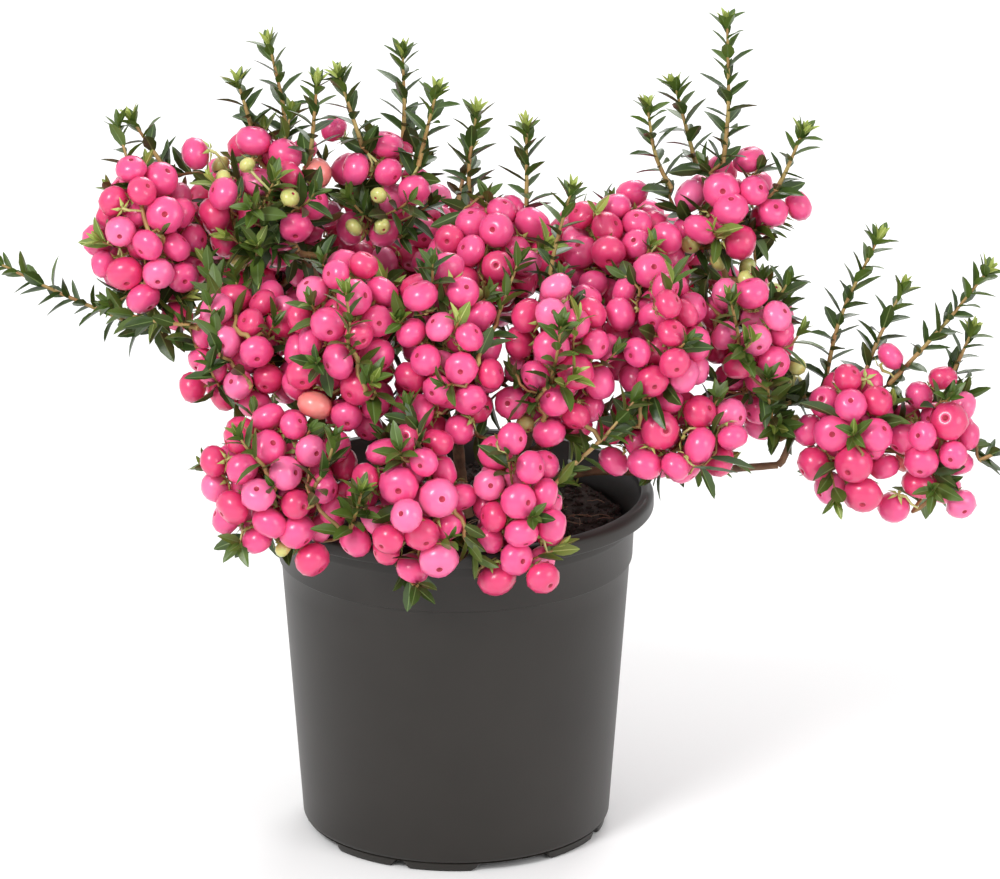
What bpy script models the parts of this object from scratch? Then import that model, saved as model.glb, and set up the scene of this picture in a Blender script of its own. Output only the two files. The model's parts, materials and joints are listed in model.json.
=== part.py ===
"""A prickly heath in a round nursery pot, in metres, +Z up, seen from -Y.

The origin is on the floor, under the middle of the plant's spread. The pot's axis stands a little to
the left of it, because the plant reaches further to the right. All sizes below are millimetres
measured from the pot's foot: to the right, to the back and up.
"""

import math

import bmesh
import bpy
from mathutils import Vector, noise
from mathutils.bvhtree import BVHTree

MM = 0.001
GAP = 0.3

# The plant's furthest tips, left and right of the pot's axis
REACH_LEFT = 151.0
REACH_RIGHT = 179.0

# The pot: a flared, rolled lip over a collar, a ledge to stack on, and a tapered wall on eight feet
POT_LIP_RADIUS = 65.0
POT_MOUTH_RADIUS = 60.4
POT_HEIGHT = 115.0
LEDGE_RADIUS = 57.0
LEDGE_HEIGHT = 92.2
LEDGE_STEP = 0.7
COLLAR_RADIUS = 58.5
COLLAR_LINE_HEIGHT = 104.5
BASE_RADIUS = 50.5
FOOT_HEIGHT = 3.0
FOOT_RADIUS = 49.2
FOOT_WIDTH = 5.4
WALL = 1.3
FLOOR_THICKNESS = 1.4
DRAIN_RADIUS = 4.5
DRAIN_CIRCLE_RADIUS = 31.0
DRAIN_SIDES = 12
DRAIN_CUT_DEPTH = 8.0

# One quarter of the foot ring, in degrees: foot, narrow notch, foot, wide notch
QUARTERS = 4
FOOT_ANGLE = 24.0
NARROW_NOTCH = 8.5
NARROW_SLOPE = 3.0
WIDE_SLOPE = 4.5
FOOT_STEPS = 2
FIRST_FOOT_START = -50.0

# The soil: a filled plug whose top is flat where the stems stand and crumbly further out
SOIL_TOP = 106.0
SOIL_FLAT_RADIUS = 26.0
SOIL_UNEVEN = 1.6
SOIL_GRAIN = 0.09
SOIL_DIP = 0.8
SOIL_EDGE_DROP = 2.6
SOIL_RING_SHARES = (0.88, 0.68)
SOIL_COLUMNS = 26

# Limbs
LIMB_SIDES = 8
LIMB_STEP = 8.0
TRIM_STEP = 0.1
ROOT_FLARE = 1.45
FLARE_HEIGHT = 7.0

# Foliage
LUMP_SIDES = 12
LUMP_RINGS = 8
LUMP_SWELL = 0.2
LUMP_PITCH = 1.3
SHOOT_SIDES = 6
SHOOT_STEP = 6.0
SHOOT_STALK = 1.0
SHOOT_TIP = 1.2
SHOOT_SWELL = 0.25
SHOOT_GRAIN = 0.21
FLANK_GROWTH = 2.4
TIP_GROWTH = 3.0
RIM_CLEARANCE = 0.5
RIM_CUTTER_SIDES = 40

# Stems: name, points from the soil to the mass that each one enters, foot and tip radius
STEMS = (
    ("stem_left", ((-12, 8, SOIL_TOP), (-17, 10, 130), (-34, 12, 160), (-58, 10, 209)), 2.3, 1.3),
    ("stem_middle", ((3, -4, SOIL_TOP), (1, -2, 135), (6, -4, 165), (10, -5, 197)), 2.1, 1.3),
    ("stem_right", ((17, 9, SOIL_TOP), (24, 10, 130), (40, 8, 160), (53, 5, 194)), 2.3, 1.3),
)

# Boughs: name, parent stem, height of the fork, points that follow to the mass, foot and tip radius
BOUGHS = (
    ("bough_far_left", "stem_left", 121, ((-48, 6, 160), (-98, 0, 199)), 1.6, 1.1),
    ("bough_front_left", "stem_left", 130, ((-27, -14, 155), (-36, -40, 179)), 1.5, 1.1),
    ("bough_rim_left", "stem_left", 116, ((-32, -24, 127), (-54, -53, 134)), 1.5, 1.1),
    ("bough_back_left", "stem_left", 138, ((-40, 34, 166), (-62, 50, 182)), 1.5, 1.1),
    ("bough_front_middle", "stem_middle", 128, ((2, -20, 152), (-2, -45, 177)), 1.5, 1.1),
    ("bough_rim_middle", "stem_middle", 114, ((2, -30, 126), (4, -60, 131)), 1.5, 1.1),
    ("bough_front_right", "stem_right", 133, ((40, -12, 152), (58, -33, 170)), 1.5, 1.1),
    ("bough_right_side", "stem_right", 121, ((56, 2, 146), (95, -8, 172)), 1.6, 1.1),
    ("bough_back_right", "stem_right", 126, ((38, 30, 155), (54, 50, 176)), 1.5, 1.1),
    ("bough_low_right", "stem_right", 112, ((45, 5, 119), (71, 0, 120), (105, -1, 123)), 1.7, 1.2),
)
LOW_RISE = ("bough_low_right_rise", ((106.4, -1, 124.4), (109, -2, 134), (106, -4, 149)), 1.2, 0.9)

# Masses: name, middle, half sizes
MASSES = (
    ("crown_far_left", (-98, 0, 199), (19, 22, 27)),
    ("crown_left_top", (-60, 10, 208), (25, 24, 23)),
    ("crown_middle_top", (-24, 15, 211), (17, 20, 19)),
    ("crown_centre_crest", (11, -4, 195), (22, 26, 17)),
    ("crown_right_crest", (52, 5, 193), (21, 26, 18)),
    ("crown_right_top", (88, 10, 203), (19, 21, 20)),
    ("crown_left_middle", (-65, -25, 170), (20, 24, 22)),
    ("crown_front_left", (-35, -42, 176), (20, 22, 31)),
    ("crown_front_centre", (-2, -46, 173), (19, 21, 33)),
    ("crown_front_right", (33, -42, 172), (19, 21, 29)),
    ("crown_right_middle", (64, -30, 175), (18, 24, 24)),
    ("crown_right_side", (95, -10, 172), (17, 22, 22)),
    ("crown_right_low", (69, -36, 145), (23, 17, 14)),
    ("rim_left", (-54, -56, 136), (25, 18, 26)),
    ("rim_middle", (-13, -64, 133), (20, 18, 25)),
    ("rim_right", (20, -62, 130), (15, 15, 27)),
    ("outlier_inner", (104, -5, 148), (17, 16, 15)),
    ("outlier_left", (127, -14, 137), (17, 16, 24)),
    ("outlier_right", (155, -6, 134), (15, 16, 23)),
    ("crown_back_left", (-66, 52, 183), (32, 27, 30)),
    ("crown_back_middle", (-8, 58, 170), (30, 25, 28)),
    ("crown_back_right", (54, 54, 171), (31, 27, 28)),
    ("crown_back_side", (89, 38, 164), (16, 19, 18)),
)
OVER_THE_RIM = ("rim_left", "rim_middle", "rim_right")

# Shoots: name, foot inside the crown, tip, widest radius, how far the middle bows to the right
SHOOTS = (
    ("shoot_far_left", (-100, 3, 168), (-150, 5, 191), 6.0, -2.0),
    ("shoot_left_cut", (-90, 12, 214), (-104, 14, 235), 7.0, 0.0),
    ("shoot_left_first", (-62, 18, 218), (-70, 20, 246), 7.0, 0.0),
    ("shoot_left_tall", (-55, 24, 214), (-60, 26, 257), 8.0, 2.0),
    ("shoot_left_inner", (-47, 6, 218), (-44, 4, 250), 7.0, 0.0),
    ("shoot_middle_first", (-26, 8, 216), (-37, 8, 251), 7.5, 0.0),
    ("shoot_middle_cut", (-18, 26, 214), (-17, 30, 253), 7.0, 1.0),
    ("shoot_middle_last", (-14, 8, 212), (-6, 6, 246), 6.5, 0.0),
    ("shoot_crest_left", (6, 8, 200), (7, 12, 238), 8.0, -2.0),
    ("shoot_crest_right", (23, 5, 198), (23, 8, 234), 7.5, 0.0),
    ("shoot_crest_front", (29, -26, 186), (37, -25, 222), 6.5, -1.0),
    ("shoot_right_first", (74, 10, 206), (62, 10, 240), 8.5, -3.0),
    ("shoot_right_second", (81, 14, 208), (71, 18, 245), 7.0, 0.0),
    ("shoot_right_tall", (84, 4, 208), (87, 6, 269), 8.5, 2.0),
    ("shoot_right_last", (98, 2, 206), (111, 0, 234), 8.0, 1.0),
    ("shoot_outlier_first", (119, -2, 148), (136, 0, 199), 8.5, -3.0),
    ("shoot_outlier_second", (130, -6, 148), (145, 8, 180), 7.5, -1.0),
    ("shoot_outlier_long", (140, -6, 152), (171, -6, 190), 7.5, 1.0),
    ("shoot_outlier_right", (158, 0, 146), (167, 2, 167), 6.0, 0.0),
    ("shoot_outlier_low", (152, -10, 119), (179, -10, 132), 6.5, 0.0),
    ("shoot_back_middle", (-2, 66, 180), (4, 80, 206), 7.0, 0.0),
)

# Finishes: colour, roughness
POT_FINISH = ((0.045, 0.042, 0.038), 0.42)
SOIL_FINISH = ((0.020, 0.013, 0.009), 0.95)
BARK_FINISH = ((0.160, 0.095, 0.055), 0.80)
BERRY_FINISH = ((0.850, 0.100, 0.250), 0.35)
LEAF_FINISH = ((0.060, 0.160, 0.035), 0.45)


def clear_scene():
    for thing in list(bpy.data.objects):
        bpy.data.objects.remove(thing)


def finish(name, colour, roughness):
    material = bpy.data.materials.new(name)
    material.use_nodes = True
    shader = material.node_tree.nodes["Principled BSDF"]
    shader.inputs["Base Color"].default_value = (*colour, 1.0)
    shader.inputs["Roughness"].default_value = roughness
    material.diffuse_color = (*colour, 1.0)
    return material


def add_object(name, mesh_in_mm, material, parent):
    """One named sub-part from a bmesh whose sizes are millimetres."""
    bmesh.ops.scale(mesh_in_mm, vec=(MM, MM, MM), verts=mesh_in_mm.verts)
    bmesh.ops.recalc_face_normals(mesh_in_mm, faces=mesh_in_mm.faces)
    mesh = bpy.data.meshes.new(name)
    mesh_in_mm.to_mesh(mesh)
    mesh_in_mm.free()
    mesh.shade_smooth()
    mesh.set_sharp_from_angle(angle=math.radians(40))
    mesh.materials.append(material)
    made = bpy.data.objects.new(name, mesh)
    made.parent = parent
    bpy.context.scene.collection.objects.link(made)
    return made


def lathe(rings):
    """A closed body from rings of equal length, capped flat at the first and the last ring."""
    shape = bmesh.new()
    rows = [[shape.verts.new(point) for point in ring] for ring in rings]
    count = len(rows[0])
    for low, high in zip(rows, rows[1:]):
        for i in range(count):
            j = (i + 1) % count
            shape.faces.new((low[i], low[j], high[j], high[i]))
    shape.faces.new(reversed(rows[0]))
    shape.faces.new(rows[-1])
    return shape


def on_circle(radius, angle, height):
    """Angle 0 faces the front, -Y, and grows towards the right, +X."""
    return Vector((radius * math.sin(angle), -radius * math.cos(angle), height))


def foot_stations():
    """(angle in degrees, True on a foot) right round the pot."""
    quarter = 360.0 / QUARTERS
    wide_notch = quarter - 2 * FOOT_ANGLE - NARROW_NOTCH
    foot = [FOOT_ANGLE * i / FOOT_STEPS for i in range(FOOT_STEPS + 1)]
    second = FOOT_ANGLE + NARROW_NOTCH
    end = second + FOOT_ANGLE
    stations = [(a, True) for a in foot]
    stations += [(FOOT_ANGLE + NARROW_SLOPE, False), (second - NARROW_SLOPE, False)]
    stations += [(second + a, True) for a in foot]
    stations += [(end + WIDE_SLOPE, False), (end + wide_notch / 2, False)]
    stations += [(end + wide_notch - WIDE_SLOPE, False)]
    return [
        (FIRST_FOOT_START + quarter * k + angle, on_foot)
        for k in range(QUARTERS)
        for angle, on_foot in stations
    ]


def wall_radius(height):
    share = (height - FOOT_HEIGHT) / (LEDGE_HEIGHT - FOOT_HEIGHT)
    return BASE_RADIUS + (LEDGE_RADIUS - BASE_RADIUS) * share


def pot_profile():
    """(radius, height) up the outside, over the lip and down the inside, above the feet."""
    lip = POT_LIP_RADIUS
    top = POT_HEIGHT
    collar = COLLAR_RADIUS
    floor = FOOT_HEIGHT + FLOOR_THICKNESS
    outside = [
        (wall_radius(FOOT_HEIGHT + 1.2), FOOT_HEIGHT + 1.2),
        (LEDGE_RADIUS, LEDGE_HEIGHT),
        (LEDGE_RADIUS + LEDGE_STEP, LEDGE_HEIGHT + 0.5),
        (collar - 0.1, COLLAR_LINE_HEIGHT - 0.4),
        (collar + 0.3, COLLAR_LINE_HEIGHT),
        (collar + 0.5, top - 4.6),
    ]
    rolled_lip = [
        (lip - 1.6, top - 4.2),
        (lip - 1.5, top - 5.6),
        (lip - 0.4, top - 5.7),
        (lip, top - 4.6),
        (lip, top - 2.2),
        (lip - 0.8, top - 0.8),
        (lip - 2.2, top),
        (POT_MOUTH_RADIUS + 0.9, top - 0.1),
        (POT_MOUTH_RADIUS, top - 0.9),
    ]
    inside = [
        (collar - WALL, top - 6.0),
        (wall_radius(LEDGE_HEIGHT) - WALL, LEDGE_HEIGHT),
        (wall_radius(floor) - WALL, floor),
    ]
    return outside + rolled_lip + inside


def pot_shape():
    stations = [(math.radians(angle), on_foot) for angle, on_foot in foot_stations()]
    inner = FOOT_RADIUS - FOOT_WIDTH

    def foot_ring(radius, height, notch_radius, notch_height):
        return [
            on_circle(radius, angle, height) if on_foot else on_circle(notch_radius, angle, notch_height)
            for angle, on_foot in stations
        ]

    rings = [
        foot_ring(inner - 1.4, FOOT_HEIGHT, inner - 1.4, FOOT_HEIGHT),
        foot_ring(inner, 0.0, inner, FOOT_HEIGHT),
        foot_ring(FOOT_RADIUS - 0.5, 0.0, BASE_RADIUS - 0.8, FOOT_HEIGHT),
        foot_ring(FOOT_RADIUS, 0.5, BASE_RADIUS - 0.2, FOOT_HEIGHT + 0.4),
    ]
    for radius, height in pot_profile():
        rings.append([on_circle(radius, angle, height) for angle, _ in stations])
    return lathe(rings)


def drain_cutter(parent):
    """Four short pins that cut the drain holes out of the pot's floor."""
    shape = bmesh.new()
    for k in range(QUARTERS):
        angle = math.radians(45 + 360 / QUARTERS * k)
        made = bmesh.ops.create_cone(
            shape,
            cap_ends=True,
            segments=DRAIN_SIDES,
            radius1=DRAIN_RADIUS,
            radius2=DRAIN_RADIUS,
            depth=DRAIN_CUT_DEPTH,
        )
        bmesh.ops.translate(
            shape, vec=on_circle(DRAIN_CIRCLE_RADIUS, angle, FOOT_HEIGHT), verts=made["verts"]
        )
    cutter = add_object("drain_cutter", shape, None, parent)
    cutter.hide_render = True
    cutter.display_type = "WIRE"
    return cutter


def cut_away(target, cutter):
    cut = target.modifiers.new("cut_away", "BOOLEAN")
    cut.operation = "DIFFERENCE"
    cut.object = cutter


def soil_shape():
    """A plug 0.3 mm clear of the pot's floor and wall."""
    floor = FOOT_HEIGHT + FLOOR_THICKNESS + GAP
    edge = LEDGE_RADIUS - WALL - GAP
    angles = [2 * math.pi * i / SOIL_COLUMNS for i in range(SOIL_COLUMNS)]
    # A flat side of the many-sided wall lies a little inside the wall's circle
    flat_side = math.cos(math.radians(FOOT_ANGLE / FOOT_STEPS / 2))
    plain = [
        (flat_side * (wall_radius(floor) - WALL) - GAP, floor),
        (flat_side * edge, LEDGE_HEIGHT),
        (flat_side * edge, SOIL_TOP - SOIL_EDGE_DROP),
    ]
    rings = [[on_circle(radius, angle, height) for angle in angles] for radius, height in plain]
    for share in SOIL_RING_SHARES:
        ring = []
        for angle in angles:
            point = on_circle(edge * share, angle, SOIL_TOP)
            point.z += SOIL_UNEVEN * noise.noise(point * SOIL_GRAIN) - SOIL_DIP
            ring.append(point)
        rings.append(ring)
    rings.append([on_circle(SOIL_FLAT_RADIUS, angle, SOIL_TOP) for angle in angles])
    return lathe(rings)


def smooth_path(points, step):
    """Samples about step apart on a smooth curve through the points."""
    points = [Vector(point) for point in points]
    before = points[0] * 2 - points[1]
    after = points[-1] * 2 - points[-2]
    knots = [before, *points, after]
    path = []
    for a, b, c, d in zip(knots, knots[1:], knots[2:], knots[3:]):
        count = max(1, round((c - b).length / step))
        for i in range(count):
            t = i / count
            bend = a * 2 - b * 5 + c * 4 - d
            twist = b * 3 - a - c * 3 + d
            path.append((b * 2 + (c - a) * t + bend * t**2 + twist * t**3) * 0.5)
    path.append(points[-1])
    return path


def resampled(path, step):
    """The same path with even steps of about the given length."""
    lengths = [0.0]
    for a, b in zip(path, path[1:]):
        lengths.append(lengths[-1] + (b - a).length)
    count = max(2, round(lengths[-1] / step))
    even = []
    place = 0
    for i in range(count + 1):
        target = lengths[-1] * i / count
        while place < len(path) - 2 and lengths[place + 1] < target:
            place += 1
        share = (target - lengths[place]) / (lengths[place + 1] - lengths[place])
        even.append(path[place].lerp(path[place + 1], share))
    return even


def directions(path):
    ways = [(b - a).normalized() for a, b in zip(path, path[1:])]
    return [*ways, ways[-1]]


def ring_round(middle, way, radius, sides):
    side = way.orthogonal().normalized()
    other = way.cross(side)
    angles = [2 * math.pi * i / sides for i in range(sides)]
    return [middle + (side * math.cos(a) + other * math.sin(a)) * radius for a in angles]


def tube(path, radii, sides, level_foot=False):
    """A closed tube of rings that don't twist against each other."""
    ways = directions(path)
    if level_foot:
        ways[0] = Vector((0.0, 0.0, 1.0))
    side = ways[0].orthogonal().normalized()
    rings = []
    for middle, way, radius in zip(path, ways, radii):
        side = (side - way * side.dot(way)).normalized()
        other = way.cross(side)
        angles = [2 * math.pi * i / sides for i in range(sides)]
        rings.append([middle + (side * math.cos(a) + other * math.sin(a)) * radius for a in angles])
    return lathe(rings)


def room_at(point, trees):
    """Distance to the nearest body, negative inside it."""
    room = math.inf
    for tree in trees:
        near, normal, _, distance = tree.find_nearest(point)
        outside = (point - near).dot(normal) >= 0
        room = min(room, distance if outside else -distance)
    return room


def ring_room(middle, way, radius, trees):
    points = [middle, *ring_round(middle, way, radius, LIMB_SIDES)]
    return min(room_at(point, trees) for point in points)


def trimmed(path, radius_at, trees):
    """The first stretch of the path along which a limb keeps the gap to every tree given."""
    ways = directions(path)
    kept = []
    for i, (middle, way) in enumerate(zip(path, ways)):
        clear = ring_room(middle, way, radius_at(i / (len(path) - 1)), trees) >= GAP
        if clear:
            kept.append(i)
        elif kept:
            break
    return kept[0], kept[-1]


def limb_shape(points, foot_radius, tip_radius, trees, flare=False):
    """A tapering limb from where it clears its parent to where it meets a mass."""
    fine = smooth_path(points, TRIM_STEP)

    def radius_at(share):
        radius = foot_radius + (tip_radius - foot_radius) * share
        if flare:
            height = max(0.0, 1.0 - share * len(fine) * TRIM_STEP / FLARE_HEIGHT)
            radius *= 1.0 + (ROOT_FLARE - 1.0) * height**2
        return radius

    first, last = trimmed(fine, radius_at, trees)
    path = resampled(fine[first : last + 1], LIMB_STEP)
    steps = [i / (len(path) - 1) for i in range(len(path))]
    shares = [(first + (last - first) * step) / (len(fine) - 1) for step in steps]
    return tube(path, [radius_at(share) for share in shares], LIMB_SIDES, level_foot=flare)


def lump(middle, half_sizes, seed):
    """An uneven rounded mass of leaves and berries."""
    shape = bmesh.new()
    bmesh.ops.create_uvsphere(shape, u_segments=LUMP_SIDES, v_segments=LUMP_RINGS, radius=1.0)
    offset = Vector((seed * 7.3, seed * 3.1, 0.0))
    for vert in shape.verts:
        swell = 1.0 + LUMP_SWELL * noise.noise(vert.co * LUMP_PITCH + offset)
        vert.co = Vector(middle) + Vector(a * b for a, b in zip(vert.co, half_sizes)) * swell
    return shape


def reach_towards(half_sizes, way):
    return 1.0 / math.sqrt(sum((a / b) ** 2 for a, b in zip(way, half_sizes)))


def keep_apart(shape, middle, half_sizes, others):
    """Cuts the mass flat, half a gap short of where its neighbours begin."""
    for other_middle, other_sizes in others:
        apart = Vector(other_middle) - Vector(middle)
        way = apart.normalized()
        own = reach_towards(half_sizes, way)
        theirs = reach_towards(other_sizes, way)
        place = Vector(middle) + way * (apart.length * own / (own + theirs) - GAP / 2)
        everything = shape.verts[:] + shape.edges[:] + shape.faces[:]
        bmesh.ops.bisect_plane(shape, geom=everything, plane_co=place, plane_no=way, clear_outer=True)
        rim = [edge for edge in shape.edges if edge.is_boundary]
        if rim:
            bmesh.ops.holes_fill(shape, edges=rim, sides=0)
    bmesh.ops.dissolve_degenerate(shape, edges=shape.edges[:], dist=0.05)
    bmesh.ops.triangulate(shape, faces=shape.faces[:])


def rim_cutter(parent):
    """The room that the pot's lip takes, a little larger, so that a mass can hang over it."""
    shape = bmesh.new()
    height = POT_HEIGHT + RIM_CLEARANCE
    bmesh.ops.create_cone(
        shape,
        cap_ends=True,
        segments=RIM_CUTTER_SIDES,
        radius1=POT_LIP_RADIUS + RIM_CLEARANCE,
        radius2=POT_LIP_RADIUS + RIM_CLEARANCE,
        depth=height,
    )
    bmesh.ops.translate(shape, vec=(0, 0, height / 2), verts=shape.verts)
    cutter = add_object("rim_cutter", shape, None, parent)
    cutter.hide_render = True
    cutter.display_type = "WIRE"
    return cutter


def shoot_shape(foot, tip, widest, bow, trees):
    """A slender leafy tip, from where it leaves the crown, never wider than the room beside it."""
    foot = Vector(foot)
    tip = Vector(tip)
    middle = foot.lerp(tip, 0.5) + Vector((bow, 0.0, 0.0))
    fine = smooth_path((foot, middle, tip), TRIM_STEP)
    ways = directions(fine)
    first = len(fine) - 1
    while first > 0 and ring_room(fine[first - 1], ways[first - 1], SHOOT_STALK, trees) >= GAP:
        first -= 1
    path = resampled(fine[first:], SHOOT_STEP)
    radii = []
    for i, point in enumerate(path):
        share = i / (len(path) - 1)
        swell = 1.0 + SHOOT_SWELL * noise.noise(point * SHOOT_GRAIN)
        flank = min(1.0, 0.35 + share * FLANK_GROWTH)
        end = min(1.0, 0.3 + (1.0 - share) * TIP_GROWTH)
        full = widest * flank * end * swell
        radii.append(max(SHOOT_STALK, min(full, room_at(point, trees) - GAP)))
    radii[0] = SHOOT_STALK
    radii[-1] = SHOOT_TIP
    return tube(path, radii, SHOOT_SIDES)


def tree_of(shape):
    bmesh.ops.recalc_face_normals(shape, faces=shape.faces)
    return BVHTree.FromBMesh(shape)


def build():
    clear_scene()
    pot_black = finish("pot_plastic", *POT_FINISH)
    soil_brown = finish("soil", *SOIL_FINISH)
    bark = finish("bark", *BARK_FINISH)
    berry_pink = finish("berries", *BERRY_FINISH)
    leaf_green = finish("leaves", *LEAF_FINISH)

    foot = bpy.data.objects.new("pot_foot", None)
    foot.location.x = (REACH_LEFT - REACH_RIGHT) / 2 * MM
    bpy.context.scene.collection.objects.link(foot)

    # Pot and soil
    pot = add_object("pot", pot_shape(), pot_black, foot)
    cut_away(pot, drain_cutter(foot))
    add_object("soil", soil_shape(), soil_brown, foot)

    # Masses, each cut clear of its neighbours
    over_rim = rim_cutter(foot)
    mass_trees = []
    for seed, (name, middle, half_sizes) in enumerate(MASSES):
        shape = lump(middle, half_sizes, seed)
        others = [(m, s) for other, m, s in MASSES if other != name]
        keep_apart(shape, middle, half_sizes, others)
        mass_trees.append(tree_of(shape))
        mass = add_object(name, shape, berry_pink, foot)
        if name in OVER_THE_RIM:
            cut_away(mass, over_rim)

    # Stems stand on the soil, and boughs leave them at their sides
    stems = {}
    for name, points, foot_radius, tip_radius in STEMS:
        start = Vector(points[0]) + Vector((0, 0, GAP))
        shape = limb_shape((start, *points[1:]), foot_radius, tip_radius, mass_trees, flare=True)
        stems[name] = (smooth_path(points, TRIM_STEP), tree_of(shape))
        add_object(name, shape, bark, foot)
    stem_trees = [tree for _, tree in stems.values()]
    for name, stem, height, points, foot_radius, tip_radius in BOUGHS:
        fork = min(stems[stem][0], key=lambda point: abs(point.z - height))
        shape = limb_shape((fork, *points), foot_radius, tip_radius, mass_trees + stem_trees)
        add_object(name, shape, bark, foot)
    name, points, foot_radius, tip_radius = LOW_RISE
    add_object(name, limb_shape(points, foot_radius, tip_radius, mass_trees), bark, foot)

    # Shoots, each clear of the masses and of the shoots before it
    taken = list(mass_trees)
    for name, shoot_foot, tip, widest, bow in SHOOTS:
        shape = shoot_shape(shoot_foot, tip, widest, bow, taken)
        taken.append(tree_of(shape))
        add_object(name, shape, leaf_green, foot)


build()
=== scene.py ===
# %% [markdown]
# # A prickly heath in a nursery pot
# The plant is a small evergreen shrub full of round pink berries, in a black plastic pot. The packed
# model gives plain solids for the pot, the soil, the stems, the masses of foliage and the leafy shoots.
# Here each of them gets its real surface. Everything is placed by reading those solids, so that the looks
# and the solids stay together. Lengths are millimetres wherever MM turns them into metres.

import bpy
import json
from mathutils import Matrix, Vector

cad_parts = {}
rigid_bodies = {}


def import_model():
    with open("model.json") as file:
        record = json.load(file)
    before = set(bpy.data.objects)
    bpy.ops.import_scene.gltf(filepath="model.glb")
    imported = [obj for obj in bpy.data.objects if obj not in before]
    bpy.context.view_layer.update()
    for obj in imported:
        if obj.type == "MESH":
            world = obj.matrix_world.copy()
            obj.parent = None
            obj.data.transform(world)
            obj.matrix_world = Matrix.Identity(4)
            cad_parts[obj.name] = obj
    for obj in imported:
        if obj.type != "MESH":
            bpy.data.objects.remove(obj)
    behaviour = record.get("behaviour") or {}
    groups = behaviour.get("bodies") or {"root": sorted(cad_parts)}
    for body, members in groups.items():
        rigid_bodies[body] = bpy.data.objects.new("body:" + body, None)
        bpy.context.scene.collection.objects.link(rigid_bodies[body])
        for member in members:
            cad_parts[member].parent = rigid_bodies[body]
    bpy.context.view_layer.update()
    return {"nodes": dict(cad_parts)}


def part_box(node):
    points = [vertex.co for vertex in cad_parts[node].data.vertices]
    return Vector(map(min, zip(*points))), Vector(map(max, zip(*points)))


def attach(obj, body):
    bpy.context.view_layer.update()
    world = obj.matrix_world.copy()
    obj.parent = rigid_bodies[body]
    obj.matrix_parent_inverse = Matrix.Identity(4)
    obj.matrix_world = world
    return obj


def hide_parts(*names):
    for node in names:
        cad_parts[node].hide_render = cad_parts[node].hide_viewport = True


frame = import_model()
print("solids:", len(frame["nodes"]))

# %% Tools, one seed and the pot's axis
import json
import math
import random

import bmesh
import bpy
import numpy as np
from mathutils import Matrix, Vector, noise
from mathutils.bvhtree import BVHTree

MM = 0.001
UP = Vector((0.0, 0.0, 1.0))
GOLDEN_TURN = math.radians(137.5)
SEED = 20
chance = random.Random(SEED)
# The noise that sways the twigs has a seed of its own, which is the clock's time unless it is set
noise.seed_set(SEED)
pot_low, pot_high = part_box("pot")
pot_x = (pot_low.x + pot_high.x) / 2
scene = bpy.context.scene


def at(x, y, z):
    """A place in millimetres from the pot's foot."""
    return Vector((pot_x + x * MM, y * MM, z * MM))


print("pot's axis at x =", round(pot_x / MM, 2), "mm")

# %% [markdown]
# The camera stands 2 m away with a long lens and looks down by 18 degrees. It is settled first, because
# a few berries and shoots that give the plant its outline are placed by where they are seen: so many mm
# to the right of and above the point that the camera aims at.

# %% Line of sight
CAMERA_DISTANCE = 2.0
CAMERA_PITCH = math.radians(18.13)
AIM = at(14.5, 0.0, 131.4)
VIEW_UP = Vector((0.0, math.sin(CAMERA_PITCH), math.cos(CAMERA_PITCH)))
EYE_POINT = AIM + Vector((0.0, -math.cos(CAMERA_PITCH), math.sin(CAMERA_PITCH))) * CAMERA_DISTANCE


def sight(right, up):
    """The direction from the camera to a spot seen right of and above the aim point, in mm."""
    spot = AIM + Vector((right * MM, 0.0, 0.0)) + VIEW_UP * up * MM
    return (spot - EYE_POINT).normalized()


# %% [markdown]
# Small helpers keep the node trees short: one adds a node and sets or links its inputs in one call, and
# three more stand for arithmetic, for reading an attribute and for changing the geometry. Another makes an
# empty Geometry Nodes tree with named inputs.


# %% Helpers for node trees
def add_node(tree, kind, inputs=None, **settings):
    made = tree.nodes.new(kind)
    for key, value in settings.items():
        setattr(made, key, value)
    for key, value in (inputs or {}).items():
        if isinstance(value, bpy.types.NodeSocket):
            tree.links.new(value, made.inputs[key])
        else:
            made.inputs[key].default_value = value
    return made


def calculate(tree, operation, *values, **settings):
    """One step of arithmetic with sockets and numbers."""
    inputs = dict(enumerate(values))
    return add_node(tree, "ShaderNodeMath", inputs, operation=operation, **settings).outputs[0]


def attribute(tree, name, kind):
    node = add_node(tree, "GeometryNodeInputNamedAttribute", {"Name": name}, data_type=kind)
    return node.outputs["Attribute"]


def changed(tree, kind, geometry, **inputs):
    """The geometry after one more node of the tree."""
    return add_node(tree, kind, {"Geometry": geometry, **inputs}).outputs["Geometry"]


def geometry_tree(name, inputs):
    tree = bpy.data.node_groups.new(name, "GeometryNodeTree")
    tree.is_modifier = True
    tree.interface.new_socket("Geometry", in_out="INPUT", socket_type="NodeSocketGeometry")
    for label, kind in inputs.items():
        tree.interface.new_socket(label, in_out="INPUT", socket_type="NodeSocket" + kind)
    tree.interface.new_socket("Geometry", in_out="OUTPUT", socket_type="NodeSocketGeometry")
    return tree, tree.nodes.new("NodeGroupInput").outputs, tree.nodes.new("NodeGroupOutput")


# %% [markdown]
# Meshes that are built in code have helpers too. A tree is run on a source mesh and its result is kept as
# a plain mesh, so that nothing stays live on the finished piece.

# %% Helpers for meshes
def new_object(name, mesh):
    made = bpy.data.objects.new(name, mesh)
    scene.collection.objects.link(made)
    return made


def mesh_of(shape, name):
    mesh = bpy.data.meshes.new(name)
    shape.to_mesh(mesh)
    shape.free()
    return mesh


def close_rings(shape, rings, smooth=False):
    """Faces from each ring of points to the next and over both ends, all turned outwards."""
    for low, high in zip(rings, rings[1:]):
        for i in range(len(low)):
            j = (i + 1) % len(low)
            shape.faces.new((low[i], low[j], high[j], high[i])).smooth = smooth
    shape.faces.new(reversed(rings[0]))
    shape.faces.new(rings[-1])
    bmesh.ops.recalc_face_normals(shape, faces=shape.faces)


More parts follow.
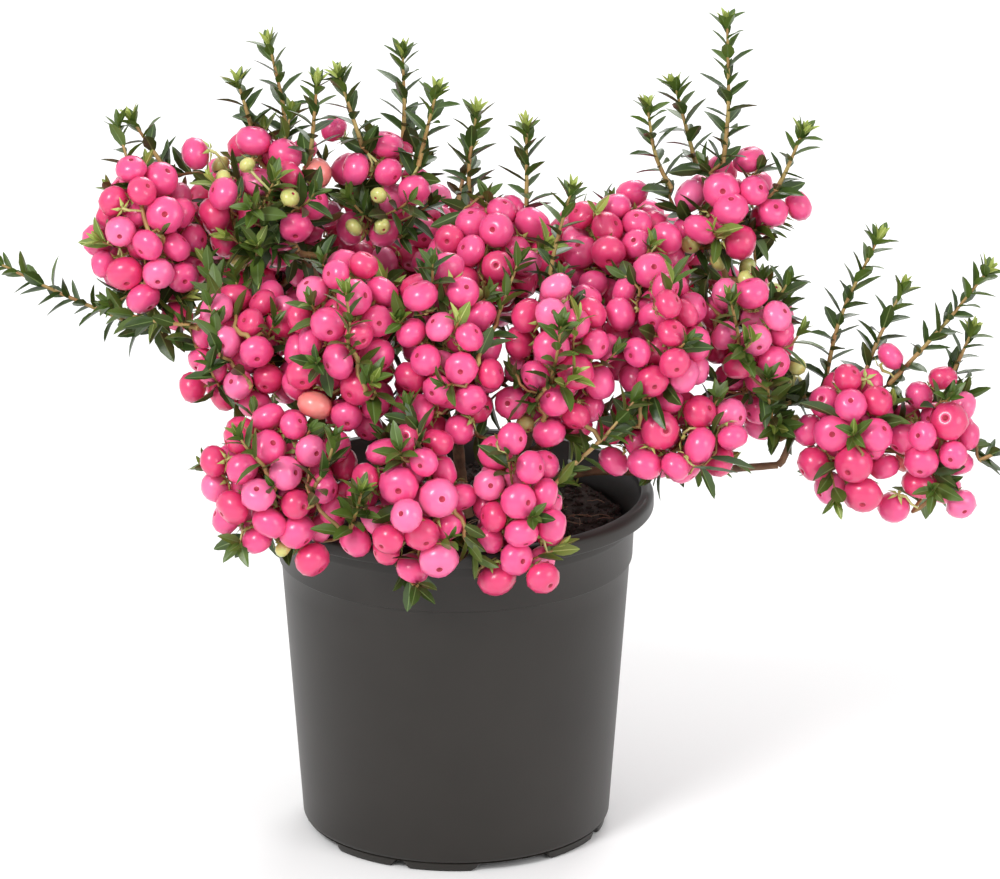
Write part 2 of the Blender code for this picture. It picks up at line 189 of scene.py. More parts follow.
def evaluated_mesh(piece):
    """The piece with its modifiers worked out, as a plain mesh."""
    graph = bpy.context.evaluated_depsgraph_get()
    return bpy.data.meshes.new_from_object(piece.evaluated_get(graph), depsgraph=graph)


def run_tree(name, source, tree, values):
    carrier = new_object(name + "_source", source)
    modifier = carrier.modifiers.new("grow", "NODES")
    modifier.node_group = tree
    for item in tree.interface.items_tree:
        if item.in_out == "INPUT" and item.name in values:
            modifier[item.identifier] = values[item.name]
    mesh = evaluated_mesh(carrier)
    bpy.data.objects.remove(carrier)
    print(name, len(mesh.polygons), "faces")
    return new_object(name, mesh)


# %% [markdown]
# Two effects come back in most finishes, so each is a shader node group. "Mottle" shifts a base colour a
# little lighter and darker in soft patches. "Grain" makes a fine uneven surface as a normal. Both read
# Object coordinates, which keep their scale on every piece because all pieces sit at the origin.


# %% Shared effects
def shader_group(name, inputs, output, kind):
    group = bpy.data.node_groups.new(name, "ShaderNodeTree")
    for label, socket, value in inputs:
        made = group.interface.new_socket(label, in_out="INPUT", socket_type="NodeSocket" + socket)
        made.default_value = value
    group.interface.new_socket(output, in_out="OUTPUT", socket_type="NodeSocket" + kind)
    return group, group.nodes.new("NodeGroupInput").outputs, group.nodes.new("NodeGroupOutput")


def soft_noise(group, scale, detail):
    """A noise laid out in Object coordinates."""
    place = add_node(group, "ShaderNodeTexCoord").outputs["Object"]
    inputs = {"Vector": place, "Scale": scale, "Detail": detail}
    return add_node(group, "ShaderNodeTexNoise", inputs).outputs["Fac"]


def make_mottle():
    inputs = (
        ("Light", "Color", (1, 1, 1, 1)),
        ("Dark", "Color", (0, 0, 0, 1)),
        ("Scale", "Float", 100.0),
        ("Contrast", "Float", 1.0),
    )
    group, source, result = shader_group("mottle", inputs, "Color", "Color")
    patches = calculate(group, "SUBTRACT", soft_noise(group, source["Scale"], 3.0), 0.5)
    share = calculate(group, "MULTIPLY_ADD", patches, source["Contrast"], 0.5, use_clamp=True)
    colours = {0: share, 6: source["Dark"], 7: source["Light"]}
    mixed = add_node(group, "ShaderNodeMix", colours, data_type="RGBA")
    group.links.new(mixed.outputs[2], result.inputs[0])
    return group


def make_grain():
    inputs = (("Scale", "Float", 800.0), ("Depth", "Float", 0.0001), ("Strength", "Float", 1.0))
    group, source, result = shader_group("grain", inputs, "Normal", "Vector")
    field = soft_noise(group, source["Scale"], 4.0)
    bump = {"Height": field, "Distance": source["Depth"], "Strength": source["Strength"]}
    relief = add_node(group, "ShaderNodeBump", bump)
    group.links.new(relief.outputs["Normal"], result.inputs[0])
    return group


MOTTLE = make_mottle()
GRAIN = make_grain()
PATCH_CONTRAST = 2.0


def finish(name, light, dark, roughness, patch_scale, grain_scale, grain_depth, **plain):
    """A material whose colour and surface vary a little; plain values go straight onto the shader."""
    material = bpy.data.materials.new(name)
    material.use_nodes = True
    tree = material.node_tree
    shader = tree.nodes["Principled BSDF"]
    patches = {"Light": (*light, 1), "Dark": (*dark, 1), "Scale": patch_scale, "Contrast": PATCH_CONTRAST}
    colour = add_node(tree, "ShaderNodeGroup", patches, node_tree=MOTTLE)
    relief = {"Scale": grain_scale, "Depth": grain_depth}
    surface = add_node(tree, "ShaderNodeGroup", relief, node_tree=GRAIN)
    tree.links.new(colour.outputs["Color"], shader.inputs["Base Color"])
    tree.links.new(surface.outputs["Normal"], shader.inputs["Normal"])
    shader.inputs["Roughness"].default_value = roughness
    for key, value in plain.items():
        shader.inputs[key.replace("_", " ")].default_value = value
    material.diffuse_color = (*light, 1)
    return material


# %% [markdown]
# The finishes. Ripe berries are a hot pink with a soft gloss, so they get a thin coat over a smooth skin.
# Leaves are leathery and dark, and turn yellow-green at the young tips. Each tint is its own plain
# material, dealt out by spray, because a pattern laid over thousands of small leaves would land anywhere.

# %% Finishes
# Light tint, dark tint, roughness, patches and grains per metre, depth of the grain in metres
PLASTIC_TINTS = ((0.0215, 0.0185, 0.0155), (0.0165, 0.0140, 0.0115))
PLASTIC = finish("pot_plastic", *PLASTIC_TINTS, 0.42, 30.0, 1400.0, 0.00002, Specular_IOR_Level=0.36)
SOIL = finish("peat", (0.052, 0.034, 0.024), (0.012, 0.008, 0.006), 0.95, 260.0, 1500.0, 0.0006)
FIBRE = finish("root_fibre", (0.36, 0.24, 0.15), (0.16, 0.09, 0.05), 0.8, 300.0, 2500.0, 0.0001)
MOSS = finish("moss", (0.30, 0.38, 0.07), (0.12, 0.19, 0.03), 0.7, 500.0, 3000.0, 0.0001)
BARK = finish("bark", (0.30, 0.17, 0.085), (0.085, 0.045, 0.026), 0.75, 220.0, 1800.0, 0.0003)
TWIG = finish("twig_bark", (0.34, 0.22, 0.07), (0.17, 0.085, 0.035), 0.6, 160.0, 2200.0, 0.0001)
YOUNG_TWIG = finish("young_twig", (0.42, 0.34, 0.11), (0.36, 0.15, 0.06), 0.5, 160.0, 2200.0, 0.00005)
STALK = finish("berry_stalk", (0.62, 0.62, 0.25), (0.46, 0.45, 0.16), 0.5, 300.0, 2200.0, 0.00005)
SEPAL = finish("sepal", (0.50, 0.60, 0.18), (0.36, 0.46, 0.11), 0.5, 300.0, 2200.0, 0.00005)

LEAF_LOOKS = {
    "dark": ((0.055, 0.100, 0.017), (0.026, 0.056, 0.010), 0.34),
    "mid": ((0.100, 0.160, 0.024), (0.058, 0.105, 0.015), 0.36),
    "bright": ((0.21, 0.28, 0.045), (0.14, 0.20, 0.028), 0.40),
    "tip": ((0.42, 0.48, 0.11), (0.29, 0.38, 0.07), 0.44),
}
LEAF_FINISHES = {
    tone: finish("leaf_" + tone, *look, 90.0, 1500.0, 0.00006) for tone, look in LEAF_LOOKS.items()
}
LEAF_RIB = finish("leaf_rib", (0.17, 0.25, 0.075), (0.10, 0.17, 0.05), 0.45, 200.0, 1500.0, 0.00003)
YOUNG_RIB = finish("young_rib", (0.52, 0.58, 0.20), (0.42, 0.50, 0.14), 0.45, 200.0, 1500.0, 0.00003)

BERRY_LOOKS = {
    "bright": ((0.84, 0.095, 0.280), (0.77, 0.062, 0.215)),
    "deep": ((0.74, 0.054, 0.180), (0.64, 0.034, 0.135)),
    "light": ((0.88, 0.170, 0.370), (0.84, 0.115, 0.300)),
    "turning": ((0.88, 0.300, 0.260), (0.82, 0.200, 0.190)),
    "unripe": ((0.66, 0.64, 0.22), (0.55, 0.56, 0.17)),
}
BERRY_SKIN = {
    "Coat_Weight": 0.35,
    "Coat_Roughness": 0.16,
    "Subsurface_Weight": 0.12,
    "Subsurface_Scale": 0.002,
}
BERRY_FINISHES = {
    tone: finish("berry_" + tone, *look, 0.30, 120.0, 900.0, 0.00002, **BERRY_SKIN)
    for tone, look in BERRY_LOOKS.items()
}
# The berry's eye: its own dark red, painted darker as the shade that falls in its dent
BERRY_EYE_SHADE = finish("berry_eye_shade", (0.50, 0.016, 0.060), (0.26, 0.010, 0.030), 0.6, 700.0, 2000.0, 0.0001)
print("finishes:", len(bpy.data.materials))

# %% [markdown]
# ## The pot
# A nursery pot is blow-moulded or injected in one thin wall. It could stay a turned profile, but its foot
# is not round: eight feet with notches between them let water out. So the mesh is a grid of rings, and
# the lowest rings rise wherever a notch is.

# %% Pot profile
LIP_RADIUS = (pot_high.x - pot_low.x) / 2 / MM
POT_HEIGHT = (pot_high.z - pot_low.z) / MM
POT_COLUMNS = 240
LEDGE_RADIUS = 57.0
LEDGE_HEIGHT = 92.2
BASE_RADIUS = 50.5
COLLAR_RADIUS = 58.5
COLLAR_LINE = 104.5
MOUTH_RADIUS = 60.4
FOOT_HEIGHT = 3.0
FOOT_RADIUS = 49.2
FOOT_WIDTH = 5.4
WALL = 1.3
POT_FLOOR = 4.4
DRAIN_RADIUS = 4.5
DRAIN_CIRCLE = 31.0
PIN_LENGTH = 8.0


def arc(middle, radius, start, end, steps):
    """(radius, height) points of an arc in the pot's section, angles in degrees from outwards."""
    angles = [math.radians(start + (end - start) * i / steps) for i in range(steps + 1)]
    return [(middle[0] + radius * math.cos(a), middle[1] + radius * math.sin(a)) for a in angles]


def wall_at(height):
    share = (height - FOOT_HEIGHT) / (LEDGE_HEIGHT - FOOT_HEIGHT)
    return BASE_RADIUS + (LEDGE_RADIUS - BASE_RADIUS) * share


def pot_section():
    """The section from the foot's inner edge, up the outside, over the lip and down the inside."""
    top = POT_HEIGHT
    lip = LIP_RADIUS
    rows = arc((wall_at(5.0) - 1.8, 4.8), 1.8, -75, 0, 5)
    rows += [(wall_at(h), h) for h in np.linspace(7.0, LEDGE_HEIGHT - 0.5, 14)]
    rows += [(LEDGE_RADIUS + 0.2, LEDGE_HEIGHT), (LEDGE_RADIUS + 0.75, LEDGE_HEIGHT + 0.25)]
    rows += [(LEDGE_RADIUS + 0.85, LEDGE_HEIGHT + 1.0), (COLLAR_RADIUS - 0.15, COLLAR_LINE - 0.6)]
    rows += [(COLLAR_RADIUS + 0.25, COLLAR_LINE - 0.1), (COLLAR_RADIUS + 0.35, COLLAR_LINE + 0.6)]
    rows += [(COLLAR_RADIUS + 0.5, top - 6.2)]
    rows += arc((COLLAR_RADIUS + 1.6, top - 5.2), 1.1, 180, 90, 3)
    rows += [(lip - 1.6, top - 4.2), (lip - 1.5, top - 5.3)]
    rows += arc((lip - 0.6, top - 5.0), 0.6, -110, 0, 4)
    rows += arc((lip - 2.3, top - 2.3), 2.3, 0, 90, 6)
    rows += arc((MOUTH_RADIUS + 0.9, top - 0.9), 0.9, 90, 180, 4)
    rows += [(MOUTH_RADIUS - 0.6, top - 2.6), (COLLAR_RADIUS - WALL, top - 6.5)]
    rows += [(wall_at(LEDGE_HEIGHT) - WALL, LEDGE_HEIGHT), (wall_at(POT_FLOOR) - WALL, POT_FLOOR)]
    return rows


# %% Pot feet
FOOT_ANGLE = 24.0
NARROW_NOTCH = 8.5
FIRST_FOOT = -50.0
NOTCH_SLOPE = 3.5
NOTCH_SPREAD = 1.4


def notch_share(degrees):
    """0 on a foot, 1 in a notch, with sloped sides between."""
    turn = (degrees - FIRST_FOOT) % 90.0
    second_foot = FOOT_ANGLE + NARROW_NOTCH
    depth = 0.0
    for start, end in ((FOOT_ANGLE, second_foot), (second_foot + FOOT_ANGLE, 90.0)):
        inside = min(turn - start, end - turn)
        depth = max(depth, min(1.0, max(0.0, inside / NOTCH_SLOPE)))
    return depth * depth * (3 - 2 * depth)


def round_the_pot(radius, degrees, height):
    angle = math.radians(degrees)
    return at(radius * math.sin(angle), -radius * math.cos(angle), height)


def make_pot():
    # Radius, height and how far a notch reaches up into each ring of the foot
    inner = FOOT_RADIUS - FOOT_WIDTH
    rows = [(inner - 1.6, FOOT_HEIGHT, 0.0), (inner - 0.6, FOOT_HEIGHT - 0.4, 0.5), (inner, 0.5, 1.0)]
    rows += [(inner + 0.5, 0.0, 1.0), (FOOT_RADIUS - 0.6, 0.0, 1.0), (FOOT_RADIUS, 0.35, 1.0)]
    rows += [(FOOT_RADIUS + 0.25, 1.6, 0.7), (FOOT_RADIUS + 0.55, 2.7, 0.2)]
    rows += [(radius, height, 0.0) for radius, height in pot_section()]
    shape = bmesh.new()
    rings = []
    for radius, height, reach in rows:
        ring = []
        for i in range(POT_COLUMNS):
            degrees = 360.0 * i / POT_COLUMNS
            lift = (FOOT_HEIGHT - height) * notch_share(degrees) * min(1.0, reach * NOTCH_SPREAD)
            ring.append(shape.verts.new(round_the_pot(radius, degrees, height + lift)))
        rings.append(ring)
    close_rings(shape, rings)
    return new_object("nursery_pot", mesh_of(shape, "nursery_pot"))


def make_drain_pins():
    shape = bmesh.new()
    size = {"radius1": DRAIN_RADIUS * MM, "radius2": DRAIN_RADIUS * MM, "depth": PIN_LENGTH * MM}
    for k in range(4):
        middle = Matrix.Translation(round_the_pot(DRAIN_CIRCLE, 45 + 90 * k, POT_FLOOR))
        bmesh.ops.create_cone(shape, cap_ends=True, segments=32, matrix=middle, **size)
    return new_object("drain_pins", mesh_of(shape, "drain_pins"))


pot = make_pot()
drain_pins = make_drain_pins()
drains = pot.modifiers.new("drains", "BOOLEAN")
drains.operation = "DIFFERENCE"
drains.object = drain_pins
pot_mesh = evaluated_mesh(pot)
pot.modifiers.clear()
pot.data = pot_mesh
bpy.data.objects.remove(drain_pins)
pot.data.materials.clear()
pot.data.materials.append(PLASTIC)
pot.data.shade_smooth()
pot.data.set_sharp_from_angle(angle=math.radians(50))
print("pot:", len(pot.data.polygons), "faces")

# %% [markdown]
# ## Limbs as lines
# Each stem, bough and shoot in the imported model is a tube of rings. Their centre lines are what the
# twigs, the bark and the leaves follow. The rings are found by walking the mesh outwards from one flat
# end: the points one edge further on always form the next ring.


# %% Centre lines of the tubes
CAP_POINTS = 18
FLUSH = 0.9999


def welded(node):
    shape = bmesh.new()
    shape.from_mesh(frame["nodes"][node].data)
    bmesh.ops.remove_doubles(shape, verts=shape.verts, dist=1e-6)
    bmesh.ops.recalc_face_normals(shape, faces=shape.faces)
    shape.verts.index_update()
    return shape


def middle_of(verts):
    return sum((vert.co for vert in verts), Vector()) / len(verts)


def end_cap(shape):
    """The points of one flat end: the face furthest out, and those flush with it."""
    far = max(shape.verts, key=lambda vert: (vert.co - middle_of(shape.verts)).length)
    near = sorted(shape.verts, key=lambda vert: (vert.co - far.co).length)[:CAP_POINTS]
    way = (far.co - middle_of(near)).normalized()
    first = max(far.link_faces, key=lambda face: abs(face.normal.dot(way)))
    cap = {first}
    edge_of_cap = [first]
    while edge_of_cap:
        face = edge_of_cap.pop()
        for edge in face.edges:
            for other in edge.link_faces:
                if other not in cap and other.normal.dot(first.normal) > FLUSH:
                    cap.add(other)
                    edge_of_cap.append(other)
    return {vert for face in cap for vert in face.verts}


def centre_line(node, thick_end_first=True):
    """[(middle, radius), ...] along a tube, each ring's points taken in a fixed order."""
    shape = welded(node)
    rings = [end_cap(shape)]
    seen = set(rings[0])
    while True:
        following = {edge.other_vert(vert) for vert in rings[-1] for edge in vert.link_edges} - seen
        if not following:
            break
        rings.append(following)
        seen |= following
    line = []
    for ring in rings:
        verts = sorted(ring, key=lambda vert: vert.index)
        middle = middle_of(verts)
        line.append((middle, sum((vert.co - middle).length for vert in verts) / len(verts)))
    shape.free()
    if (line[0][1] < line[-1][1]) == thick_end_first:
        line.reverse()
    return line


limb_nodes = sorted(name for name in frame["nodes"] if name.startswith(("stem_", "bough_")))
shoot_nodes = sorted(name for name in frame["nodes"] if name.startswith("shoot_"))
mass_nodes = sorted(name for name in frame["nodes"] if name.startswith(("crown_", "rim_", "outlier_")))
limbs = {name: centre_line(name) for name in limb_nodes}
shoots = {name: centre_line(name, thick_end_first=False) for name in shoot_nodes}
# The long low branch bends upwards: its second length starts on the end of the first
limbs["bough_low_right_rise"].insert(0, limbs["bough_low_right"][-1])
print("limbs:", len(limbs), "shoots:", len(shoots), "masses:", len(mass_nodes))
for name, line in limbs.items():
    print(name, len(line), "rings", round(line[0][1] / MM, 2), "to", round(line[-1][1] / MM, 2), "mm")

# %% [markdown]
# ## Tubes along lines
# Bark, twigs and berry stalks are all tubes along a line. One tree makes them: it turns the edges of a
# mesh into curves, sweeps a round profile whose size is the point attribute "thickness", and pushes the
# surface in and out by a noise for the relief of bark.


# %% Tree for tubes
def make_tube_tree():
    inputs = {"Sides": "Int", "Relief": "Float", "Relief Scale": "Float", "Finish": "Material"}
    tree, source, result = geometry_tree("tubes", inputs)
    curve = add_node(tree, "GeometryNodeMeshToCurve", {"Mesh": source["Geometry"]})
    circle = {"Resolution": source["Sides"], "Radius": 1.0}
    profile = add_node(tree, "GeometryNodeCurvePrimitiveCircle", circle)
    sweep = {
        "Curve": curve.outputs["Curve"],
        "Profile Curve": profile.outputs["Curve"],
        "Scale": attribute(tree, "thickness", "FLOAT"),
        "Fill Caps": True,
    }
    tube = add_node(tree, "GeometryNodeCurveToMesh", sweep).outputs["Mesh"]
    field = add_node(tree, "ShaderNodeTexNoise", {"Scale": source["Relief Scale"], "Detail": 3.0})
    centred = calculate(tree, "SUBTRACT", field.outputs["Fac"], 0.5)
    height = calculate(tree, "MULTIPLY", centred, source["Relief"])
    normal = add_node(tree, "GeometryNodeInputNormal").outputs["Normal"]
    offset = add_node(tree, "ShaderNodeVectorMath", {0: normal, "Scale": height}, operation="SCALE")
    rough = changed(tree, "GeometryNodeSetPosition", tube, Offset=offset.outputs[0])
    smooth = changed(tree, "GeometryNodeSetShadeSmooth", rough)
    real = changed(tree, "GeometryNodeRealizeInstances", smooth)
    dressed = changed(tree, "GeometryNodeSetMaterial", real, Material=source["Finish"])
    tree.links.new(dressed, result.inputs["Geometry"])
    return tree


TUBES = make_tube_tree()


def tubes(name, lines, material, sides, relief=0.0, relief_scale=300.0):
    """One joined piece of tubes; lines are lists of (place, radius)."""
    points = []
    edges = []
    radii = []
    for line in lines:
        start = len(points)
        points += [place for place, _ in line]
        radii += [radius for _, radius in line]
        edges += [(start + i, start + i + 1) for i in range(len(line) - 1)]
    mesh = bpy.data.meshes.new(name)
    mesh.from_pydata(points, edges, [])
    mesh.attributes.new("thickness", "FLOAT", "POINT").data.foreach_set("value", radii)
    values = {"Sides": sides, "Relief": relief, "Relief Scale": relief_scale, "Finish": material}
    return run_tree(name, mesh, TUBES, values)


# %% [markdown]
# ## The branching rule
# Real stems fork again and again until a spray of leaves or a truss of berries reaches the light. Here
# the places that have to be reached are chosen first, on and inside the masses. Then every spray, nearest
# first, grows a twig from the closest point of everything that has grown so far. The twigs' thickness
# follows how many sprays each one feeds, so the wood tapers the way it does on a real shrub.


# %% Where the masses are
class Mass:
    """One mass of foliage: a closed surface that can be hit from outside and asked for its inside."""

    def __init__(self, node):
        shape = welded(node)
        self.tree = BVHTree.FromBMesh(shape)
        self.middle = middle_of(shape.verts)
        low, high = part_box(node)
        self.size = high - low
        shape.free()

    def depth(self, place):
        """How deep a place lies inside, negative outside."""
        near, normal, _, distance = self.tree.find_nearest(place)
        return distance if (place - near).dot(normal) < 0 else -distance

    def surface(self, way):
        """Where a line from the middle leaves the mass, found from well outside."""
        hit, normal, _, _ = self.tree.ray_cast(self.middle + way * 0.2, -way)
        return hit, normal


masses = {name: Mass(name) for name in mass_nodes}
VALLEY_WIDTH = 0.8


def random_way():
    while True:
        way = Vector([chance.uniform(-1, 1) for _ in range(3)])
        if 0.1 < way.length < 1.0:
            return way.normalized()


def distances(places, place):
    """How far each row of an array of places lies from one place."""
    return np.sqrt(((places - np.array(place)) ** 2).sum(axis=1))


def open_surface(mass, count):
    """(place, normal) spots on the mass that no neighbour touches."""
    spots = []
    for _ in range(count):
        hit, normal = mass.surface(random_way())
        if hit is None:
            continue
        neighbours = (other for other in masses.values() if other is not mass)
        if all(other.depth(hit) < -VALLEY_WIDTH * MM for other in neighbours):
            spots.append((hit, normal))
    return spots


def spaced(candidates, spacing, taken=()):
    """Keeps candidates in order, each at least its spacing from those kept before."""
    kept = []
    places = list(taken)
    for candidate in candidates:
        place = np.array(candidate[0])
        room = spacing(candidate)
        if places and (((np.array(places) - place) ** 2).sum(axis=1) < room * room).any():
            continue
        places.append(place)
        kept.append(candidate)
    return kept


def on_sight(right, up, lift=0.0):
    """Where a line of sight meets the foliage, lifted towards the camera, or where it passes closest."""
    way = sight(right, up)
    hits = [mass.tree.ray_cast(EYE_POINT, way)[3] for mass in masses.values()]
    hits = [distance for distance in hits if distance is not None]
    if hits:
        return EYE_POINT + way * (min(hits) - lift * MM)

    def miss(mass):
        along = (mass.middle - EYE_POINT).dot(way)
        return (EYE_POINT + way * along - mass.middle).length - mass.size.length / 4

    nearest = min(masses.values(), key=miss)
    return EYE_POINT + way * (nearest.middle - EYE_POINT).dot(way)


# %% [markdown]
# How much of each mass is berries: some are nearly all berries, others mostly leaves. Berries sit in
# trusses, so they aren't thinned evenly: a slow noise through space decides where leaves show instead.

# %% Share of berries by mass
BERRY_SHARE = {
    "crown_far_left": 0.74, "crown_left_top": 0.56, "crown_middle_top": 0.64,
    "crown_centre_crest": 1.30, "crown_right_crest": 1.20, "crown_right_top": 0.60,
    "crown_left_middle": 1.25, "crown_front_left": 1.15, "crown_front_centre": 1.20,
    "crown_front_right": 1.20, "crown_right_middle": 1.30, "crown_right_side": 0.80,
    "crown_right_low": 1.05, "rim_left": 0.85, "rim_middle": 1.15,
    "rim_right": 0.90, "outlier_inner": 0.30, "outlier_left": 1.05,
    "outlier_right": 0.95, "crown_back_left": 0.72, "crown_back_middle": 0.76,
    "crown_back_right": 0.72, "crown_back_side": 0.66,
}
SPOTS_PER_MASS = 700
surfaces = {name: open_surface(mass, SPOTS_PER_MASS) for name, mass in masses.items()}
print("open spots:", sum(len(spots) for spots in surfaces.values()))

# %% Berries that give the outline
# Right and up from the aim point as seen, and radius, in mm
EDGE_BERRIES = (
    (-120, 88, 5.2), (-99, 93, 5.5), (-90, 80, 5.5), (-109, 73, 6.3), (-122, 54, 6.3), (-129, 57, 4.6),
    (-116, 46, 5.9), (-105, 40, 5.5), (-100, 17, 5.2), (-93, -7, 5.2), (-87, -22, 5.9), (-75, -27, 5.9),
    (-66, -30, 6.1), (-61, -39, 5.9), (-47, -33, 5.5), (-20, -39, 6.5), (-1, -45, 6.5), (14, -45, 5.5),
    (17, -28, 5.5), (81, 91, 5.5), (72, 81, 6.2), (75, 75, 5.9), (97, 76, 5.2), (43, 80, 5.5),
    (89, 25, 5.5), (113, 20, 4.9), (127, 27, 4.9), (144, 20, 4.9), (150, -21, 5.2), (128, -22, 5.5),
    (118, -18, 6.5), (108, 2, 6.2), (115, -8, 6.5), (131, 1, 6.5), (146, 6, 6.5), (102, -8, 5.9),
    (137, -7, 5.9), (65, -2, 6.2), (75, 8, 5.5), (47, -8, 5.9), (37, -7, 5.5), (-54, 101, 4.6),
    (-47, 88, 5.5), (-28, 81, 5.5), (-33, -15, 6.5), (-20, -19, 6.5), (52, 3, 6.5), (6, -20, 5.9),
)
EDGE_SINK = 0.6


def edge_berries():
    made = []
    for right, up, radius in EDGE_BERRIES:
        place = on_sight(right, up, lift=-radius * EDGE_SINK)
        name = min(masses, key=lambda key: (masses[key].middle - place).length)
        normal = (place - masses[name].middle).normalized()
        made.append((place, normal, radius * MM, False, name))
    return made


# %% Choose the berries
BERRY_RADIUS = (4.9, 6.1)
UNRIPE_RADIUS = (2.8, 3.4)
# Spacing as a share of the room that two berries need
BERRY_SPACING = 0.77
UNRIPE_SPACING = 0.95
UNRIPE_COUNT = 48
LAYER_DEPTH = 7.5
SKIN_DEPTH = 0.85
TRUSS_SIZE = 22.0
TRUSS_CONTRAST = 0.85
TRUSS_BLUR = 0.08
# How close berries end, how much of an overlap one round opens and how much each is drawn home
CLOSENESS = 0.985
PUSH = 0.3
PULL_HOME = 0.03


def berry_candidates(layer, radii, unripe):
    found = []
    for name, spots in surfaces.items():
        for place, normal in spots:
            radius = chance.uniform(*radii) * MM
            depth = radius * SKIN_DEPTH + (chance.uniform(0, 1.5) + layer * LAYER_DEPTH) * MM
            found.append((place - normal * depth, normal, radius, unripe, name))
    chance.shuffle(found)
    return found


def push_apart(items, fixed, rounds=36):
    """Berries that overlap push each other away; those of the outline stay where they are."""
    places = np.array([berry[0] for berry in items])
    home = places.copy()
    radii = np.array([berry[2] for berry in items])
    wanted = (radii[:, None] + radii[None, :]) * CLOSENESS
    free = (np.arange(len(items)) >= fixed)[:, None]
    for _ in range(rounds):
        apart = places[:, None, :] - places[None, :, :]
        distance = np.sqrt((apart**2).sum(axis=2)) + np.eye(len(items))
        overlap = np.clip(wanted - distance, 0, None)
        np.fill_diagonal(overlap, 0)
        push = (apart / distance[:, :, None] * overlap[:, :, None] * PUSH).sum(axis=1)
        places += (push + (home - places) * PULL_HOME) * free
    return [(Vector(place), *berry[1:]) for place, berry in zip(places, items)]


def in_a_truss(berry):
    """Whether the slow noise leaves room for berries here; it rises with the share of the mass."""
    place = berry[0] / (TRUSS_SIZE * MM)
    room = BERRY_SHARE[berry[4]] + chance.uniform(-TRUSS_BLUR, TRUSS_BLUR)
    return 0.5 + TRUSS_CONTRAST * noise.noise(place) < room


def add_berries(layer, radii, unripe, room):
    """New berries between those that are there."""
    taken = [np.array(berry[0]) for berry in berries]
    return spaced(berry_candidates(layer, radii, unripe), room, taken)


berries = edge_berries()
outline_count = len(berries)
for layer in (0, 1):
    berries += add_berries(layer, BERRY_RADIUS, False, lambda berry: 2 * berry[2] * BERRY_SPACING)
berries = push_apart(berries, outline_count)
berries = berries[:outline_count] + [berry for berry in berries[outline_count:] if in_a_truss(berry)]
print("ripe berries:", len(berries))
unripe = add_berries(
    0, UNRIPE_RADIUS, True, lambda berry: (berry[2] + BERRY_RADIUS[1] * MM) * UNRIPE_SPACING
)
berries += unripe[:UNRIPE_COUNT]
berry_places = np.array([berry[0] for berry in berries])
berry_radii = np.array([berry[2] for berry in berries])
print("all berries:", len(berries))


def inside_a_berry(place, room=0.0):
    """The index of the berry that holds the place, or None."""
    distance = distances(berry_places, place) - berry_radii
    nearest = int(np.argmin(distance))
    return nearest if distance[nearest] < room else None


def dodged(place, room=0.4 * MM):
    """The place, moved just outside the berry that it would run through."""
    held = inside_a_berry(place, room)
    if held is None:
        return place
    middle = Vector(berry_places[held])
    out = place - middle
    if out.length < 1e-6:
        return place
    return middle + out.normalized() * (float(berry_radii[held]) + room)


# %% Choose the sprays
SPRAY_LENGTH = (14.0, 21.0)
SPRAY_REACH = (-3.0, 1.5)
SPRAY_LIFT = 0.55
# Room between sprays: the least, and more for each berry that is near, up to a few
LEAFY_SPACING = 9.0
CROWDED_SPACING = 4.2
NEAR_A_BERRY = 12.0
MOST_NEAR = 4
INNER_SPACING = 10.5
INNER_LENGTH = (11, 16)
INNER_DEPTH = (9, 17)
INNER_LIFT = 0.3


def leaning(normal, lift):
    """The way a spray grows: outwards, turned up to the light."""
    way = normal + UP * lift + random_way() * 0.35
    return way.normalized()


def spray_candidates():
    found = []
    for spots in surfaces.values():
        for place, normal in spots:
            way = leaning(normal, SPRAY_LIFT)
            tip = place + way * chance.uniform(*SPRAY_REACH) * MM
            if inside_a_berry(tip) is not None:
                continue
            near = int((distances(berry_places, tip) < NEAR_A_BERRY * MM).sum())
            room = LEAFY_SPACING + CROWDED_SPACING * min(MOST_NEAR, near)
            length = chance.uniform(*SPRAY_LENGTH) * MM
            found.append((tip, way, length, "outer", room * MM))
    chance.shuffle(found)
    return found


def inner_candidates():
    found = []
    for name, spots in surfaces.items():
        for place, normal in spots[::2]:
            depth = chance.uniform(*INNER_DEPTH) * MM
            inside = place - normal * depth
            if masses[name].depth(inside) < 2 * MM:
                continue
            way = leaning(normal * 0.4, INNER_LIFT)
            found.append((inside, way, chance.uniform(*INNER_LENGTH) * MM, "inner", INNER_SPACING * MM))
    chance.shuffle(found)
    return found


sprays = spaced(spray_candidates(), lambda spray: spray[4])
sprays += spaced(inner_candidates(), lambda spray: spray[4])
print("sprays:", len(sprays))

# %% Shoots in front of the berries
# Foot and tip as seen, right and up from the aim point in mm
FRONT_SHOOTS = (
    ((19, -14), (44, 13)), ((14, 6), (20, 37)), ((-9, 22), (6, 58)), ((-45, 14), (-50, 48)),
    ((-81, 32), (-96, 58)), ((-83, 15), (-95, 45)), ((-60, -20), (-54, 0)), ((-50, -33), (-45, -17)),
    ((-17, -20), (-7, -39)), ((81, 21), (75, 45)), ((89, 0), (87, 20)), ((-81, 62), (-68, 106)),
    ((-73, -13), (-85, 1)), ((-98, 36), (-127, 44)), ((-114, 67), (-124, 102)), ((-26, -7), (-30, 11)),
)
FOOT_LIFT = -3.0
TIP_LIFT = 7.0
for foot, tip in FRONT_SHOOTS:
    foot_place = on_sight(*foot, lift=FOOT_LIFT)
    tip_place = on_sight(*tip, lift=TIP_LIFT)
    way = (tip_place - foot_place).normalized()
    sprays.append((tip_place, way, (tip_place - foot_place).length, "front", 0.0))


